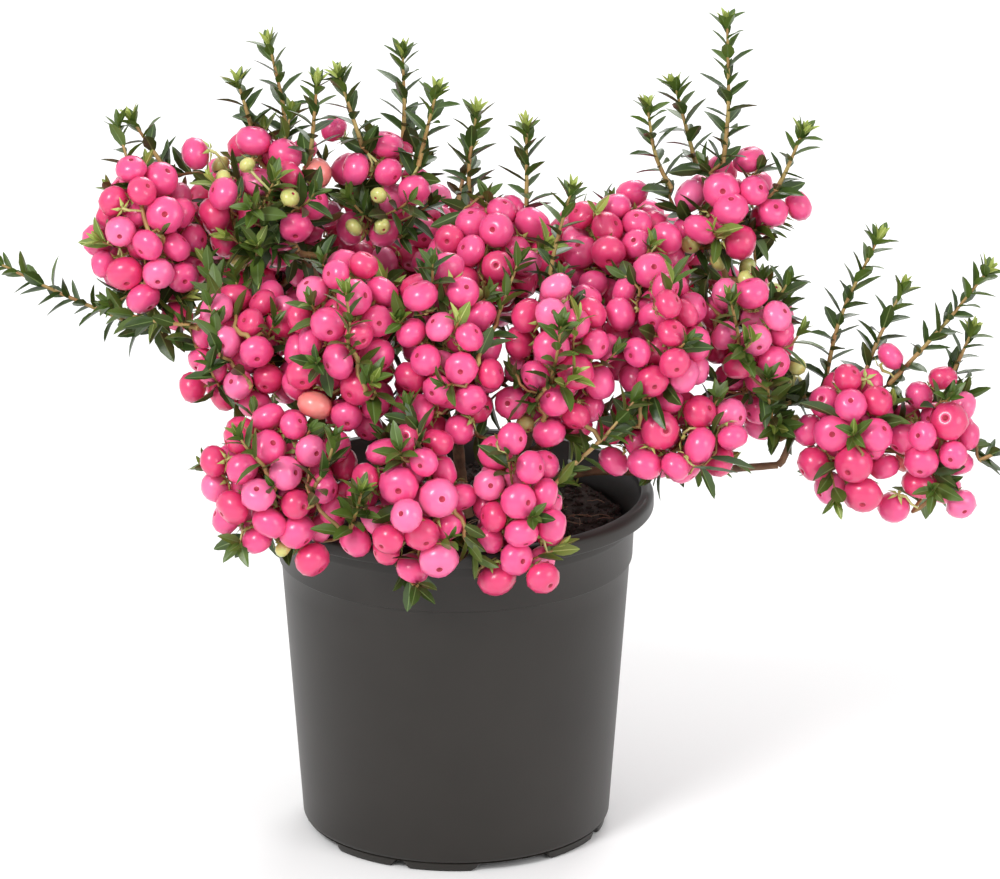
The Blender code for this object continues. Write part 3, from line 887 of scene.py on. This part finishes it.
# %% Grow the twigs
class Wood:
    """Everything woody that has grown so far: places, their directions and what each one hangs on."""

    def __init__(self):
        self.places = []
        self.ways = []
        self.parents = []
        self.lines = []

    def add(self, place, way, parent):
        self.places.append(np.array(place))
        self.ways.append(np.array(way))
        self.parents.append(parent)
        return len(self.places) - 1

    def nearest(self, place, way):
        """The closest grown point, preferring one that lies behind the spray."""
        apart = np.array(place) - np.array(self.places)
        distance = np.sqrt((apart**2).sum(axis=1)) + 1e-9
        ahead = (apart @ np.array(way)) / distance
        return int(np.argmin(distance * (1.35 - 0.35 * ahead)))

    def grow(self, path, start):
        """Adds a path of new wood onto a grown point and returns its indices."""
        indices = [start]
        for before, place in zip([Vector(self.places[start]), *path], path):
            way = (place - before).normalized()
            indices.append(self.add(place, way, indices[-1]))
        self.lines.append(indices)
        return indices


TWIG_STEP = 3.5 * MM
SPRAY_STEP = 2.5 * MM
TWIG_SWAY = 0.35
BENDS_PER_METRE = 90


def bent_path(start, way, end, end_way, step=TWIG_STEP):
    """Points on a smooth bend that leaves start along way and arrives at end along end_way."""
    span = (end - start).length
    pull = span * 0.4
    a = start + way * pull
    b = end - end_way * pull
    count = max(2, round(span / step))
    path = []
    for i in range(1, count + 1):
        t = i / count
        s = 1 - t
        point = start * s**3 + a * (3 * s * s * t) + b * (3 * s * t * t) + end * t**3
        sway = noise.noise_vector(point * BENDS_PER_METRE) * TWIG_SWAY * MM
        path.append(dodged(point + sway) if i < count else end)
    return path


wood = Wood()
for line in limbs.values():
    places = [place for place, _ in line]
    last = None
    for i, place in enumerate(places):
        following = places[min(i + 1, len(places) - 1)]
        before = places[max(i - 1, 0)]
        last = wood.add(place, (following - before).normalized(), last)
limb_places = np.array(wood.places)


def reach_of(spray):
    """How far a spray's foot is from the closest limb."""
    tip, way, length = spray[:3]
    return float(distances(limb_places, tip - way * length).min())


spray_lines = []
for tip, way, length, kind, _ in sorted(sprays, key=reach_of):
    base = tip - way * length
    start = wood.nearest(base, way)
    here = Vector(wood.places[start])
    along = Vector(wood.ways[start])
    towards = (base - here).normalized() if (base - here).length > 1e-5 else way
    leave = (along * 0.55 + towards).normalized()
    if (base - here).length > SPRAY_STEP:
        start = wood.grow(bent_path(here, leave, base, (way + towards).normalized()), start)[-1]
    tip_bend = (way + UP * 0.25).normalized()
    spray_path = bent_path(Vector(wood.places[start]), way, tip, tip_bend, SPRAY_STEP)
    spray_lines.append((wood.grow(spray_path, start), kind))
print("wood points:", len(wood.places))

# %% [markdown]
# Shoots are the long leafy tips that stand out of the crown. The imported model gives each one's centre
# line, so the twig follows it exactly, from the closest wood below its foot.

# %% Grow the shoots
shoot_lines = []
for line in shoots.values():
    places = [place for place, _ in line]
    foot_way = (places[1] - places[0]).normalized()
    start = wood.nearest(places[0], foot_way)
    here = Vector(wood.places[start])
    leave = (Vector(wood.ways[start]) + (places[0] - here).normalized()).normalized()
    joined = wood.grow(bent_path(here, leave, places[0], foot_way), start)
    path = []
    for a, b in zip(places, places[1:]):
        steps = max(1, round((b - a).length / SPRAY_STEP))
        path += [a.lerp(b, (k + 1) / steps) for k in range(steps)]
    shoot_lines.append((wood.grow(path, joined[-1]), joined))
print("shoots grown:", len(shoot_lines))

# %% [markdown]
# ## Thickness of the wood
# Each point carries as many leafy ends as hang on it. The pipe rule says that a branch's section is the
# sum of the sections of its twigs, so the radius would grow with the square root of that count. The twigs
# of this shrub stay thinner, so the power is lower and the radius has a limit.

# %% Twig radii
TIP_RADIUS = 0.42
TWIG_LIMIT = 1.15
SHOOT_FOOT = 0.85
PIPE_POWER = 0.33
feeds = np.zeros(len(wood.places))
for line in wood.lines:
    feeds[line[-1]] += 1
for i in range(len(wood.places) - 1, -1, -1):
    parent = wood.parents[i]
    if parent is not None:
        feeds[parent] += feeds[i]


def with_radii(indices, radii):
    return [(Vector(wood.places[i]), radius) for i, radius in zip(indices, radii)]


def shoot_line(indices):
    """A shoot is stouter than a spray at its foot and thins evenly to its tip."""
    shares = np.linspace(0.0, 1.0, len(indices))
    return with_radii(indices, (SHOOT_FOOT + (TIP_RADIUS - SHOOT_FOOT) * shares) * MM)


def twig_line(indices, tip_share=0.75):
    radii = [min(TWIG_LIMIT, TIP_RADIUS * max(1.0, feeds[i]) ** PIPE_POWER) * MM for i in indices]
    radii[0] = radii[1]
    radii[-1] *= tip_share
    return with_radii(indices, radii)


stout = [grown for grown, _ in shoot_lines] + [grown for grown, kind in spray_lines if kind == "front"]
slim = [grown for grown, kind in spray_lines if kind != "front"]
young = {id(line) for line in stout + slim}
old_lines = [twig_line(line) for line in wood.lines if id(line) not in young]
twigs = tubes("twigs", old_lines, TWIG, 6, 0.12 * MM, 900.0)
green_lines = [twig_line(line, 0.5) for line in slim] + [shoot_line(line) for line in stout]
green_twigs = tubes("green_twigs", green_lines, YOUNG_TWIG, 5)

# %% Bark of the stems and boughs
BARK_STEP = 1.2
BARK_RELIEF = 0.5


def refined(line):
    """The line with points close enough together to carry the relief."""
    fine = []
    for (a, thick), (b, thin) in zip(line, line[1:]):
        steps = max(1, round((b - a).length / (BARK_STEP * MM)))
        fine += [(a.lerp(b, k / steps), thick + (thin - thick) * k / steps) for k in range(steps)]
    return [*fine, line[-1]]


stem_nodes = [name for name in limb_nodes if name.startswith("stem_")]
bough_nodes = [name for name in limb_nodes if name.startswith("bough_")]
stem_lines = [refined(limbs[name]) for name in stem_nodes]
bough_lines = [refined(limbs[name]) for name in bough_nodes]
stem_bark = tubes("stem_bark", stem_lines, BARK, 14, BARK_RELIEF * MM, 420.0)
bough_bark = tubes("bough_bark", bough_lines, BARK, 12, BARK_RELIEF * MM * 0.8, 480.0)

# %% [markdown]
# ## Copies on points
# Leaves, berries and crumbs are all small shapes repeated at many places. One tree sets a variant on
# each point, turned by the attribute "turn" and sized by "size", and makes the copies real. A second
# material goes on the faces that a variant marks as "detail": a leaf's rib, or the eye of a berry with
# its own dark red and painted shade in the dent.


# %% Tree for copies
def make_copy_tree():
    inputs = {"Variants": "Collection", "Finish": "Material", "Detail Finish": "Material"}
    tree, source, result = geometry_tree("copies", inputs)
    group = {"Collection": source["Variants"], "Separate Children": True, "Reset Children": True}
    shapes = add_node(tree, "GeometryNodeCollectionInfo", group)
    placing = {
        "Points": source["Geometry"],
        "Instance": shapes.outputs["Instances"],
        "Pick Instance": True,
        "Instance Index": attribute(tree, "pick", "INT"),
        "Rotation": attribute(tree, "turn", "QUATERNION"),
        "Scale": attribute(tree, "size", "FLOAT"),
    }
    placed = add_node(tree, "GeometryNodeInstanceOnPoints", placing).outputs["Instances"]
    real = changed(tree, "GeometryNodeRealizeInstances", placed)
    dressed = changed(tree, "GeometryNodeSetMaterial", real, Material=source["Finish"])
    detail = {"Selection": attribute(tree, "detail", "BOOLEAN"), "Material": source["Detail Finish"]}
    marked = changed(tree, "GeometryNodeSetMaterial", dressed, **detail)
    tree.links.new(marked, result.inputs["Geometry"])
    return tree


COPIES = make_copy_tree()


def variant_set(name, meshes):
    """A collection of shapes to choose from, which the scene itself doesn't show."""
    group = bpy.data.collections.new(name)
    for i, mesh in enumerate(meshes):
        group.objects.link(bpy.data.objects.new(f"{name}_{i}", mesh))
    return group


def copies(name, spots, group, material, detail_material):
    """One joined piece; spots are (place, turn, size) and the variants are dealt out by the seed."""
    mesh = bpy.data.meshes.new(name)
    mesh.from_pydata([place for place, _, _ in spots], [], [])
    columns = {
        "turn": ("QUATERNION", [part for _, turn, _ in spots for part in turn]),
        "size": ("FLOAT", [size for _, _, size in spots]),
        "pick": ("INT", [chance.randrange(len(group.objects)) for _ in spots]),
    }
    for label, (kind, values) in columns.items():
        mesh.attributes.new(label, kind, "POINT").data.foreach_set("value", values)
    values = {"Variants": group, "Finish": material, "Detail Finish": detail_material}
    return run_tree(name, mesh, COPIES, values)


def facing(along, upwards, roll=0.0):
    """The turn that lays a shape's Y axis along a way, with its Z axis as near upwards as it can."""
    y = along.normalized()
    x = y.cross(upwards)
    if x.length < 1e-4:
        x = y.orthogonal()
    x.normalize()
    z = x.cross(y)
    x, z = x * math.cos(roll) + z * math.sin(roll), z * math.cos(roll) - x * math.sin(roll)
    return Matrix((x, y, z)).transposed().to_quaternion()


# %% [markdown]
# ## Leaves
# A leaf is small and stiff, pointed like a lance, with a few teeth and a paler rib. It folds a little
# along the rib and its tip bends down. Eight rows of three faces are enough for that outline.

# %% Leaf shapes
LEAF_ROWS = (0.0, 0.09, 0.22, 0.36, 0.50, 0.64, 0.77, 0.89, 1.0)
RIB_WIDTH = 0.022
# The outline is half a sine wave: leant towards the stalk, then filled out
LEAF_LEAN = 0.88
LEAF_FULLNESS = 0.72


def leaf_mesh(name, width, fold, droop, twist, teeth):
    """A leaf one unit long, from its stalk at the origin along +Y, its upper side to +Z."""
    shape = bmesh.new()
    rows = []
    for i, t in enumerate(LEAF_ROWS):
        wave = math.sin(math.pi * min(1.0, 0.03 + 0.97 * t) ** LEAF_LEAN)
        half = width * max(0.0, wave) ** LEAF_FULLNESS / 2
        if 1 < i < len(LEAF_ROWS) - 1:
            half *= 1.0 + teeth * (1 if i % 2 else -1)
        rib = RIB_WIDTH * (1.1 - 0.8 * t)
        half = max(half, rib + 0.004)
        cosine = math.cos(twist * t)
        sine = math.sin(twist * t)
        row = []
        for x, lift in ((-half, half * fold), (-rib, 0.004), (rib, 0.004), (half, half * fold)):
            height = lift * cosine - x * sine - droop * t * t
            row.append(shape.verts.new((x * cosine + lift * sine, t, height)))
        rows.append(row)
    marks = shape.faces.layers.bool.new("detail")
    for low, high in zip(rows, rows[1:]):
        for k in range(3):
            face = shape.faces.new((low[k], low[k + 1], high[k + 1], high[k]))
            face[marks] = k == 1
            face.smooth = True
    return mesh_of(shape, name)


# Width, fold along the rib, droop, twist and depth of the teeth, as shares of the length
BROAD_SHAPES = {
    "broad_flat": (0.43, 0.25, 0.08, 0.1, 0.04),
    "broad_folded": (0.39, 0.55, 0.12, -0.2, 0.05),
    "broad_curled": (0.41, 0.35, 0.22, 0.3, 0.04),
    "broad_straight": (0.37, 0.40, 0.00, -0.1, 0.05),
}
NARROW_SHAPES = {
    "narrow_flat": (0.30, 0.50, 0.06, 0.2, 0.04),
    "narrow_folded": (0.27, 0.80, -0.10, -0.2, 0.04),
    "narrow_curled": (0.31, 0.60, 0.18, 0.1, 0.04),
}
BROAD_LEAVES = variant_set("broad_leaf", [leaf_mesh(name, *form) for name, form in BROAD_SHAPES.items()])
NARROW_LEAVES = variant_set("narrow_leaf", [leaf_mesh(name, *form) for name, form in NARROW_SHAPES.items()])

# %% How a leaf is set
# Lengths in mm; probes are shares of a leaf's length
SHOOT_LEAF = (8.0, 11.5)
SPRAY_LEAF = (9.0, 13.0)
MATURE_LEAF = (10.5, 14.5)
TIP_LEAF = (5.0, 8.0)
TIP_ROSETTE = 2.2
LEAF_TRIES = 4
LEAF_PROBES = (0.3, 0.6, 0.95)
LEAF_ROOM = 0.6 * MM


def leaf_turn(way, spread, angle):
    """A leaf that stands off the twig by spread radians, its upper side to the twig's tip."""
    side = way.orthogonal().normalized()
    radial = side * math.cos(angle) + way.cross(side) * math.sin(angle)
    along = way * math.cos(spread) + radial * math.sin(spread)
    upper = way * math.sin(spread) - radial * math.cos(spread)
    upper = (upper + UP * 0.35).normalized()
    return facing(along, upper, chance.uniform(-0.3, 0.3))


def leaf_is_clear(place, turn, length):
    """Whether a leaf laid this way passes beside the berries, not through them."""
    along = turn @ Vector((0.0, length, 0.0))
    return all(inside_a_berry(place + along * share, LEAF_ROOM) is None for share in LEAF_PROBES)


# %% Leaves on the sprays and shoots
leaf_spots = {tone: [] for tone in LEAF_FINISHES}


def set_leaf(tone, place, way, spread, angle, length):
    """Sets a leaf where it passes beside the berries and says whether it could."""
    turn = leaf_turn(way, math.radians(spread), angle)
    clear = leaf_is_clear(place, turn, length)
    if clear:
        leaf_spots[tone].append((place, turn, length))
    return clear


def dress_line(indices, first_share, spacing, tones, length_range, tip_leaves):
    """Sets leaves in a spiral along a line of wood, and a tight rosette of young ones at its tip."""
    places = [Vector(wood.places[i]) for i in indices]
    lengths = [0.0]
    for a, b in zip(places, places[1:]):
        lengths.append(lengths[-1] + (b - a).length)
    total = lengths[-1]
    angle = chance.uniform(0, 2 * math.pi)
    along = total * first_share
    body, young, tip_tone = tones
    while along < total:
        k = next(i for i in range(1, len(lengths)) if lengths[i] >= along or i == len(lengths) - 1)
        share = (along - lengths[k - 1]) / max(1e-9, lengths[k] - lengths[k - 1])
        place = places[k - 1].lerp(places[k], share)
        way = (places[k] - places[k - 1]).normalized()
        near_tip = along / total
        length = chance.uniform(*length_range) * MM * (1.0 - 0.25 * max(0.0, near_tip - 0.6) / 0.4)
        tone = body if near_tip < 0.62 + chance.uniform(-0.1, 0.2) else young
        for _ in range(LEAF_TRIES):
            spread = 66 - 26 * near_tip + chance.uniform(-14, 14)
            is_set = set_leaf(tone, place, way, spread, angle, length)
            angle += GOLDEN_TURN
            if is_set:
                break
        along += spacing * MM * chance.uniform(0.8, 1.2)
    way = (places[-1] - places[-2]).normalized()
    for i in range(tip_leaves):
        share = i / max(1, tip_leaves - 1)
        spread = 48 - 34 * share + chance.uniform(-8, 8)
        length = (TIP_LEAF[1] + (TIP_LEAF[0] - TIP_LEAF[1]) * share) * MM * chance.uniform(0.9, 1.15)
        place = places[-1] - way * (1 - share) * TIP_ROSETTE * MM
        set_leaf(tip_tone if share > 0.3 else young, place, way, spread, angle, length)
        angle += GOLDEN_TURN


# Tones of the leaves along a line, towards its tip and at the tip
TONES = {
    "shade": ("dark", "dark", "dark"),
    "old": ("dark", "dark", "mid"),
    "plain": ("dark", "mid", "mid"),
    "fresh": ("mid", "mid", "bright"),
    "new": ("mid", "bright", "tip"),
}
TONE_SHARES = {"old": 0.35, "plain": 0.35, "fresh": 0.2, "new": 0.1}
for indices, kind in spray_lines:
    if kind == "inner":
        dress_line(indices, 0.1, 2.8, TONES["shade"], MATURE_LEAF, 2)
    elif kind == "front":
        dress_line(indices, 0.15, 2.0, TONES[chance.choice(("plain", "fresh"))], SHOOT_LEAF, 6)
    else:
        tones = TONES[chance.choices(list(TONE_SHARES), list(TONE_SHARES.values()))[0]]
        dress_line(indices, 0.25, 2.6, tones, SPRAY_LEAF, 4)
for indices, joined in shoot_lines:
    dress_line(joined, 0.35, 3.2, TONES["old"], MATURE_LEAF, 0)
    dress_line(indices, 0.0, 1.9, ("dark", "mid", "tip"), SHOOT_LEAF, 9)

leaves = {}
for tone, spots in leaf_spots.items():
    variants = NARROW_LEAVES if tone == "tip" else BROAD_LEAVES
    rib = LEAF_RIB if tone in ("dark", "mid") else YOUNG_RIB
    leaves[tone] = copies("leaves_" + tone, spots, variants, LEAF_FINISHES[tone], rib)

# %% [markdown]
# ## Berries
# A berry is a slightly flattened ball. Its eye, where the flower sat, is a small dent in its own dark red,
# painted darker as the shade that falls in the dent. A star of sepals holds it at the stalk. Five very soft
# lobes keep it from being a plain ball.

# %% Berry shapes
BERRY_COLUMNS = 12
# Polar angle from the eye in degrees, and how far the skin is sunk there, as a share of the radius
SUNK_BANDS = ((5.0, 0.13), (10, 0.085), (21, 0.04))
BERRY_BANDS = (*SUNK_BANDS, (42, 0.0), (70, 0.0), (97, 0.0), (126, 0.0), (155, 0.02))


def berry_mesh(name, flatness, lobes, lean):
    """A berry of radius one, its eye to +Z and its stalk end to -Z."""
    shape = bmesh.new()
    rows = []
    for degrees, sunk in BERRY_BANDS:
        theta = math.radians(degrees)
        row = []
        for i in range(BERRY_COLUMNS):
            angle = 2 * math.pi * i / BERRY_COLUMNS
            wave = 1.0 + lobes * math.cos(5 * angle) * math.sin(theta) ** 2
            radius = math.sin(theta) * wave * (1 - sunk)
            height = math.cos(theta) * flatness * (1 - sunk * 1.6)
            x = radius * math.cos(angle) + lean * height
            row.append(shape.verts.new((x, radius * math.sin(angle), height)))
        rows.append(row)
    eye = shape.verts.new((lean * flatness * 0.72, 0, flatness * 0.70))
    stalk_end = shape.verts.new((-lean * flatness, 0, -flatness * 0.93))
    # The eye and the first band round it take the eye's finish: its own dark red and painted shade in the
    # dent
    marks = shape.faces.layers.bool.new("detail")
    for i in range(BERRY_COLUMNS):
        j = (i + 1) % BERRY_COLUMNS
        shape.faces.new((eye, rows[0][i], rows[0][j]))[marks] = True
        for k, (low, high) in enumerate(zip(rows, rows[1:])):
            shape.faces.new((low[i], high[i], high[j], low[j]))[marks] = k == 0
        shape.faces.new((rows[-1][i], stalk_end, rows[-1][j]))
    for face in shape.faces:
        face.smooth = True
    bmesh.ops.recalc_face_normals(shape, faces=shape.faces)
    return mesh_of(shape, name)


# Flatness, depth of the lobes and lean
BERRY_FORMS = {
    "berry_round": (0.89, 0.010, 0.0),
    "berry_flat": (0.78, 0.020, 0.03),
    "berry_lobed": (0.82, 0.035, -0.05),
    "berry_leaning": (0.85, 0.015, 0.09),
}
BERRIES = variant_set("berry_shape", [berry_mesh(name, *form) for name, form in BERRY_FORMS.items()])

# Radius, turn and height of a sepal's corners: root, left, right, tip and ridge
SEPAL_SIDES = ((0.34, -0.42, -0.99), (0.34, 0.42, -0.99))
SEPAL_CORNERS = ((0.0, 0.0, -0.98), *SEPAL_SIDES, (0.80, 0.0, -0.78), (0.36, 0.0, -1.02))
SEPAL_FACES = ((0, 1, 4), (0, 4, 2), (1, 3, 4), (4, 3, 2))


def star_mesh():
    """Five pointed sepals round the stalk end of a berry of radius one."""
    shape = bmesh.new()
    for k in range(5):
        corners = []
        for radius, turn, height in SEPAL_CORNERS:
            angle = 2 * math.pi * k / 5 + turn
            corners.append(shape.verts.new((radius * math.cos(angle), radius * math.sin(angle), height)))
        for face in SEPAL_FACES:
            shape.faces.new([corners[i] for i in face])
    bmesh.ops.recalc_face_normals(shape, faces=shape.faces)
    return mesh_of(shape, "star")


STARS = variant_set("star", [star_mesh()])

# %% Berries and their stalks
STALK_RADIUS = (0.55, 0.38)
STALK_STEP = 2.6
RIPE_TONES = {"bright": 0.57, "deep": 0.27, "light": 0.15, "turning": 0.01}
# A berry faces outwards, but not strictly, and hangs down a little
EYE_SPREAD = 0.75
EYE_DROOP = 0.12
# Wood closer than the shortest stalk counts as further off by the penalty
SHORTEST_STALK = 3 * MM
SHORT_PENALTY = 5 * MM
berry_spots = {tone: [] for tone in BERRY_FINISHES}
star_spots = []
stalk_lines = []
grown_places = np.array(wood.places)


def berry_tone(unripe):
    return "unripe" if unripe else chance.choices(list(RIPE_TONES), list(RIPE_TONES.values()))[0]


for place, normal, radius, is_unripe, _ in berries:
    eye_way = (normal + random_way() * EYE_SPREAD - UP * EYE_DROOP).normalized()
    turn = eye_way.to_track_quat("Z", "Y")
    berry_spots[berry_tone(is_unripe)].append((place, turn, radius))
    star_spots.append((place, turn, radius))
    stalk_end = place - eye_way * radius * 0.9
    distance = distances(grown_places, stalk_end)
    distance[distance < SHORTEST_STALK] += SHORT_PENALTY
    root = Vector(grown_places[int(np.argmin(distance))])
    outwards = (place - root).normalized()
    path = bent_path(root, outwards, stalk_end, (eye_way + outwards).normalized(), STALK_STEP * MM)
    radii = np.linspace(STALK_RADIUS[1], STALK_RADIUS[0], len(path) + 1) * MM
    stalk_lines.append(list(zip([root, *path], radii)))

berry_pieces = {}
for tone, spots in berry_spots.items():
    berry_pieces[tone] = copies("berries_" + tone, spots, BERRIES, BERRY_FINISHES[tone], BERRY_EYE_SHADE)
stars = copies("berry_stars", star_spots, STARS, SEPAL, SEPAL)
stalks = tubes("berry_stalks", stalk_lines, STALK, 5)

# %% [markdown]
# ## Soil
# The peat in the pot is a plug with an uneven top. Loose crumbs, a few pale root fibres and some sprigs
# of moss lie on it, as on any nursery pot.

# %% Soil plug
SOIL_COLUMNS = 96
SOIL_RINGS = 34
soil_low, soil_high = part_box("soil")
SOIL_RADIUS = (soil_high.x - soil_low.x) / 2 / MM
SOIL_TOP = 106.0
SOIL_EDGE = SOIL_TOP - 2.4
SOIL_LEVEL = SOIL_TOP - 0.8


def soil_height(x, y):
    """Broad swells with small ones on them, and a lower edge along the wall."""
    if math.hypot(x, y) > SOIL_RADIUS - 1:
        return SOIL_EDGE
    wave = noise.noise(Vector((x, y, 3.0)) * 0.11) * 1.1 + noise.noise(Vector((x, y, 9.0)) * 0.42) * 0.6
    return SOIL_LEVEL + wave


def make_soil():
    shape = bmesh.new()
    rows = [(SOIL_RADIUS * 0.9, POT_FLOOR + 0.4), (SOIL_RADIUS, LEDGE_HEIGHT)]
    rows += [(SOIL_RADIUS * share, None) for share in np.linspace(1.0, 0.04, SOIL_RINGS)]
    rings = []
    for radius, height in rows:
        ring = []
        for i in range(SOIL_COLUMNS):
            angle = 2 * math.pi * i / SOIL_COLUMNS
            x = radius * math.cos(angle)
            y = radius * math.sin(angle)
            ring.append(shape.verts.new(at(x, y, soil_height(x, y) if height is None else height)))
        rings.append(ring)
    close_rings(shape, rings, smooth=True)
    made = new_object("soil_surface", mesh_of(shape, "soil_surface"))
    made.data.materials.append(SOIL)
    return made


soil = make_soil()

# %% Crumbs, fibres and moss
CRUMB_COUNT = 1500
FIBRE_COUNT = 70
FIBRE_RADIUS = 0.16
FIBRE_STEP = 1.7
MOSS_TUFTS = 26
MOSS_LEAVES = 9


def crumb_mesh(name, seed):
    shape = bmesh.new()
    bmesh.ops.create_icosphere(shape, subdivisions=2, radius=1.0)
    for vert in shape.verts:
        vert.co *= 1.0 + 0.45 * noise.noise(vert.co * 1.3 + Vector((seed, 0, 0)))
        vert.co.z *= 0.7
    return mesh_of(shape, name)


def on_soil(inner=0.0, outer=SOIL_RADIUS - 1.5):
    radius = math.sqrt(chance.uniform(inner**2, outer**2))
    angle = chance.uniform(0, 2 * math.pi)
    x = radius * math.cos(angle)
    y = radius * math.sin(angle)
    return at(x, y, soil_height(x, y))


def crumb_spot():
    place = on_soil()
    turn = random_way().to_track_quat("Z", "Y")
    return place, turn, (0.45 + 1.3 * chance.random() ** 3) * MM


def fibre_line():
    """A root fibre that lies on the soil in an arc, with small humps along it."""
    place = on_soil()
    heading = chance.uniform(0, 2 * math.pi)
    bend = chance.uniform(-0.35, 0.35)
    line = []
    for k in range(chance.randrange(5, 11)):
        local = (place - at(0, 0, 0)) / MM
        if math.hypot(local.x, local.y) > SOIL_RADIUS - 2:
            break
        height = soil_height(local.x, local.y) + 0.5 + 0.8 * abs(math.sin(k * 0.6))
        line.append((at(local.x, local.y, height), FIBRE_RADIUS * MM))
        place = place + Vector((math.cos(heading), math.sin(heading), 0)) * FIBRE_STEP * MM
        heading += bend
    return line


CRUMBS = variant_set("crumb", [crumb_mesh(f"crumb_shape_{k}", 7.0 * k) for k in range(4)])
crumbs = copies("soil_crumbs", [crumb_spot() for _ in range(CRUMB_COUNT)], CRUMBS, SOIL, SOIL)
fibre_lines = [fibre_line() for _ in range(FIBRE_COUNT)]
fibres = tubes("soil_fibres", [line for line in fibre_lines if len(line) > 3], FIBRE, 5)
moss_spots = []
for _ in range(MOSS_TUFTS):
    centre = on_soil(34, SOIL_RADIUS - 3)
    for _ in range(MOSS_LEAVES):
        way = (UP * 0.8 + random_way()).normalized()
        moss_spots.append((centre + way * 0.6 * MM, facing(way, UP), chance.uniform(1.4, 3.0) * MM))
moss = copies("soil_moss", moss_spots, NARROW_LEAVES, MOSS, MOSS)

# %% [markdown]
# ## Riding and replacing
# Each finished piece rides on the one body of this plant and names the solids that it stands for. The
# solids stay behind for collisions, but they are no longer shown.

# %% Ride and replace
RIDERS = [
    (pot, "pot_plastic", ["pot"]),
    (soil, "soil", ["soil"]),
    (crumbs, "soil", []),
    (fibres, "soil", []),
    (moss, "leaves", []),
    (stem_bark, "bark", stem_nodes),
    (bough_bark, "bark", bough_nodes),
    (twigs, "bark", []),
    (green_twigs, "bark", []),
    (stalks, "leaves", []),
    (stars, "leaves", []),
]
# The shoots' and masses' solids are stood for by the leaves and the berries that show on them
for tone, piece in leaves.items():
    RIDERS.append((piece, "leaves", [] if tone == "bright" else shoot_nodes))
for tone, piece in berry_pieces.items():
    RIDERS.append((piece, "berries", [] if tone in ("turning", "unripe") else mass_nodes))
for piece, slot, nodes in RIDERS:
    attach(piece, "root")
    if nodes:
        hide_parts(*nodes)
print("pieces:", len(RIDERS), "faces:", sum(len(piece.data.polygons) for piece, _, _ in RIDERS))

# %% [markdown]
# ## Floor, light and camera
# A pale floor and large soft lamps give the even light of a plant catalogue. The camera is far away with
# a long lens and looks down a little, which shows the soil inside the pot's lip.

# %% Floor
FLOOR_SIZE = 14.0
floor_mesh = bpy.data.meshes.new("studio_floor")
half = FLOOR_SIZE / 2
corners = [(-half, -half, 0), (half, -half, 0), (half, half, 0), (-half, half, 0)]
floor_mesh.from_pydata(corners, [], [(0, 1, 2, 3)])
floor = new_object("studio_floor", floor_mesh)
STUDIO_WHITE = finish("studio_white", (0.93, 0.93, 0.93), (0.90, 0.90, 0.90), 0.9, 2.0, 40.0, 0.0001)
floor.data.materials.append(STUDIO_WHITE)


# %% Lights
def soft_lamp(name, place, target, size, watts):
    lamp = bpy.data.lights.new(name, "AREA")
    lamp.shape = "DISK"
    lamp.size = size
    lamp.energy = watts
    made = new_object(name, lamp)
    made.location = place
    made.rotation_euler = (Vector(target) - Vector(place)).to_track_quat("-Z", "Y").to_euler()


PLANT_MIDDLE = (0.0, 0.0, 0.16)
soft_lamp("key_lamp", (-0.75, -1.15, 1.25), PLANT_MIDDLE, 0.55, 17.0)
soft_lamp("fill_lamp", (1.2, -1.0, 0.7), PLANT_MIDDLE, 0.9, 7.0)
soft_lamp("back_lamp", (0.3, 1.2, 1.1), PLANT_MIDDLE, 0.8, 8.0)
world = bpy.data.worlds.new("studio")
scene.world = world
world.use_nodes = True
world.node_tree.nodes["Background"].inputs["Color"].default_value = (1.0, 1.0, 1.0, 1.0)
world.node_tree.nodes["Background"].inputs["Strength"].default_value = 0.85
scene.view_settings.view_transform = "Standard"

# %% Camera
camera_data = bpy.data.cameras.new("camera")
camera_data.sensor_width = 36.0
camera_data.lens = 221.4
camera = new_object("camera", camera_data)
camera.location = EYE_POINT
camera.rotation_euler = (math.pi / 2 - CAMERA_PITCH, 0, 0)
scene.camera = camera
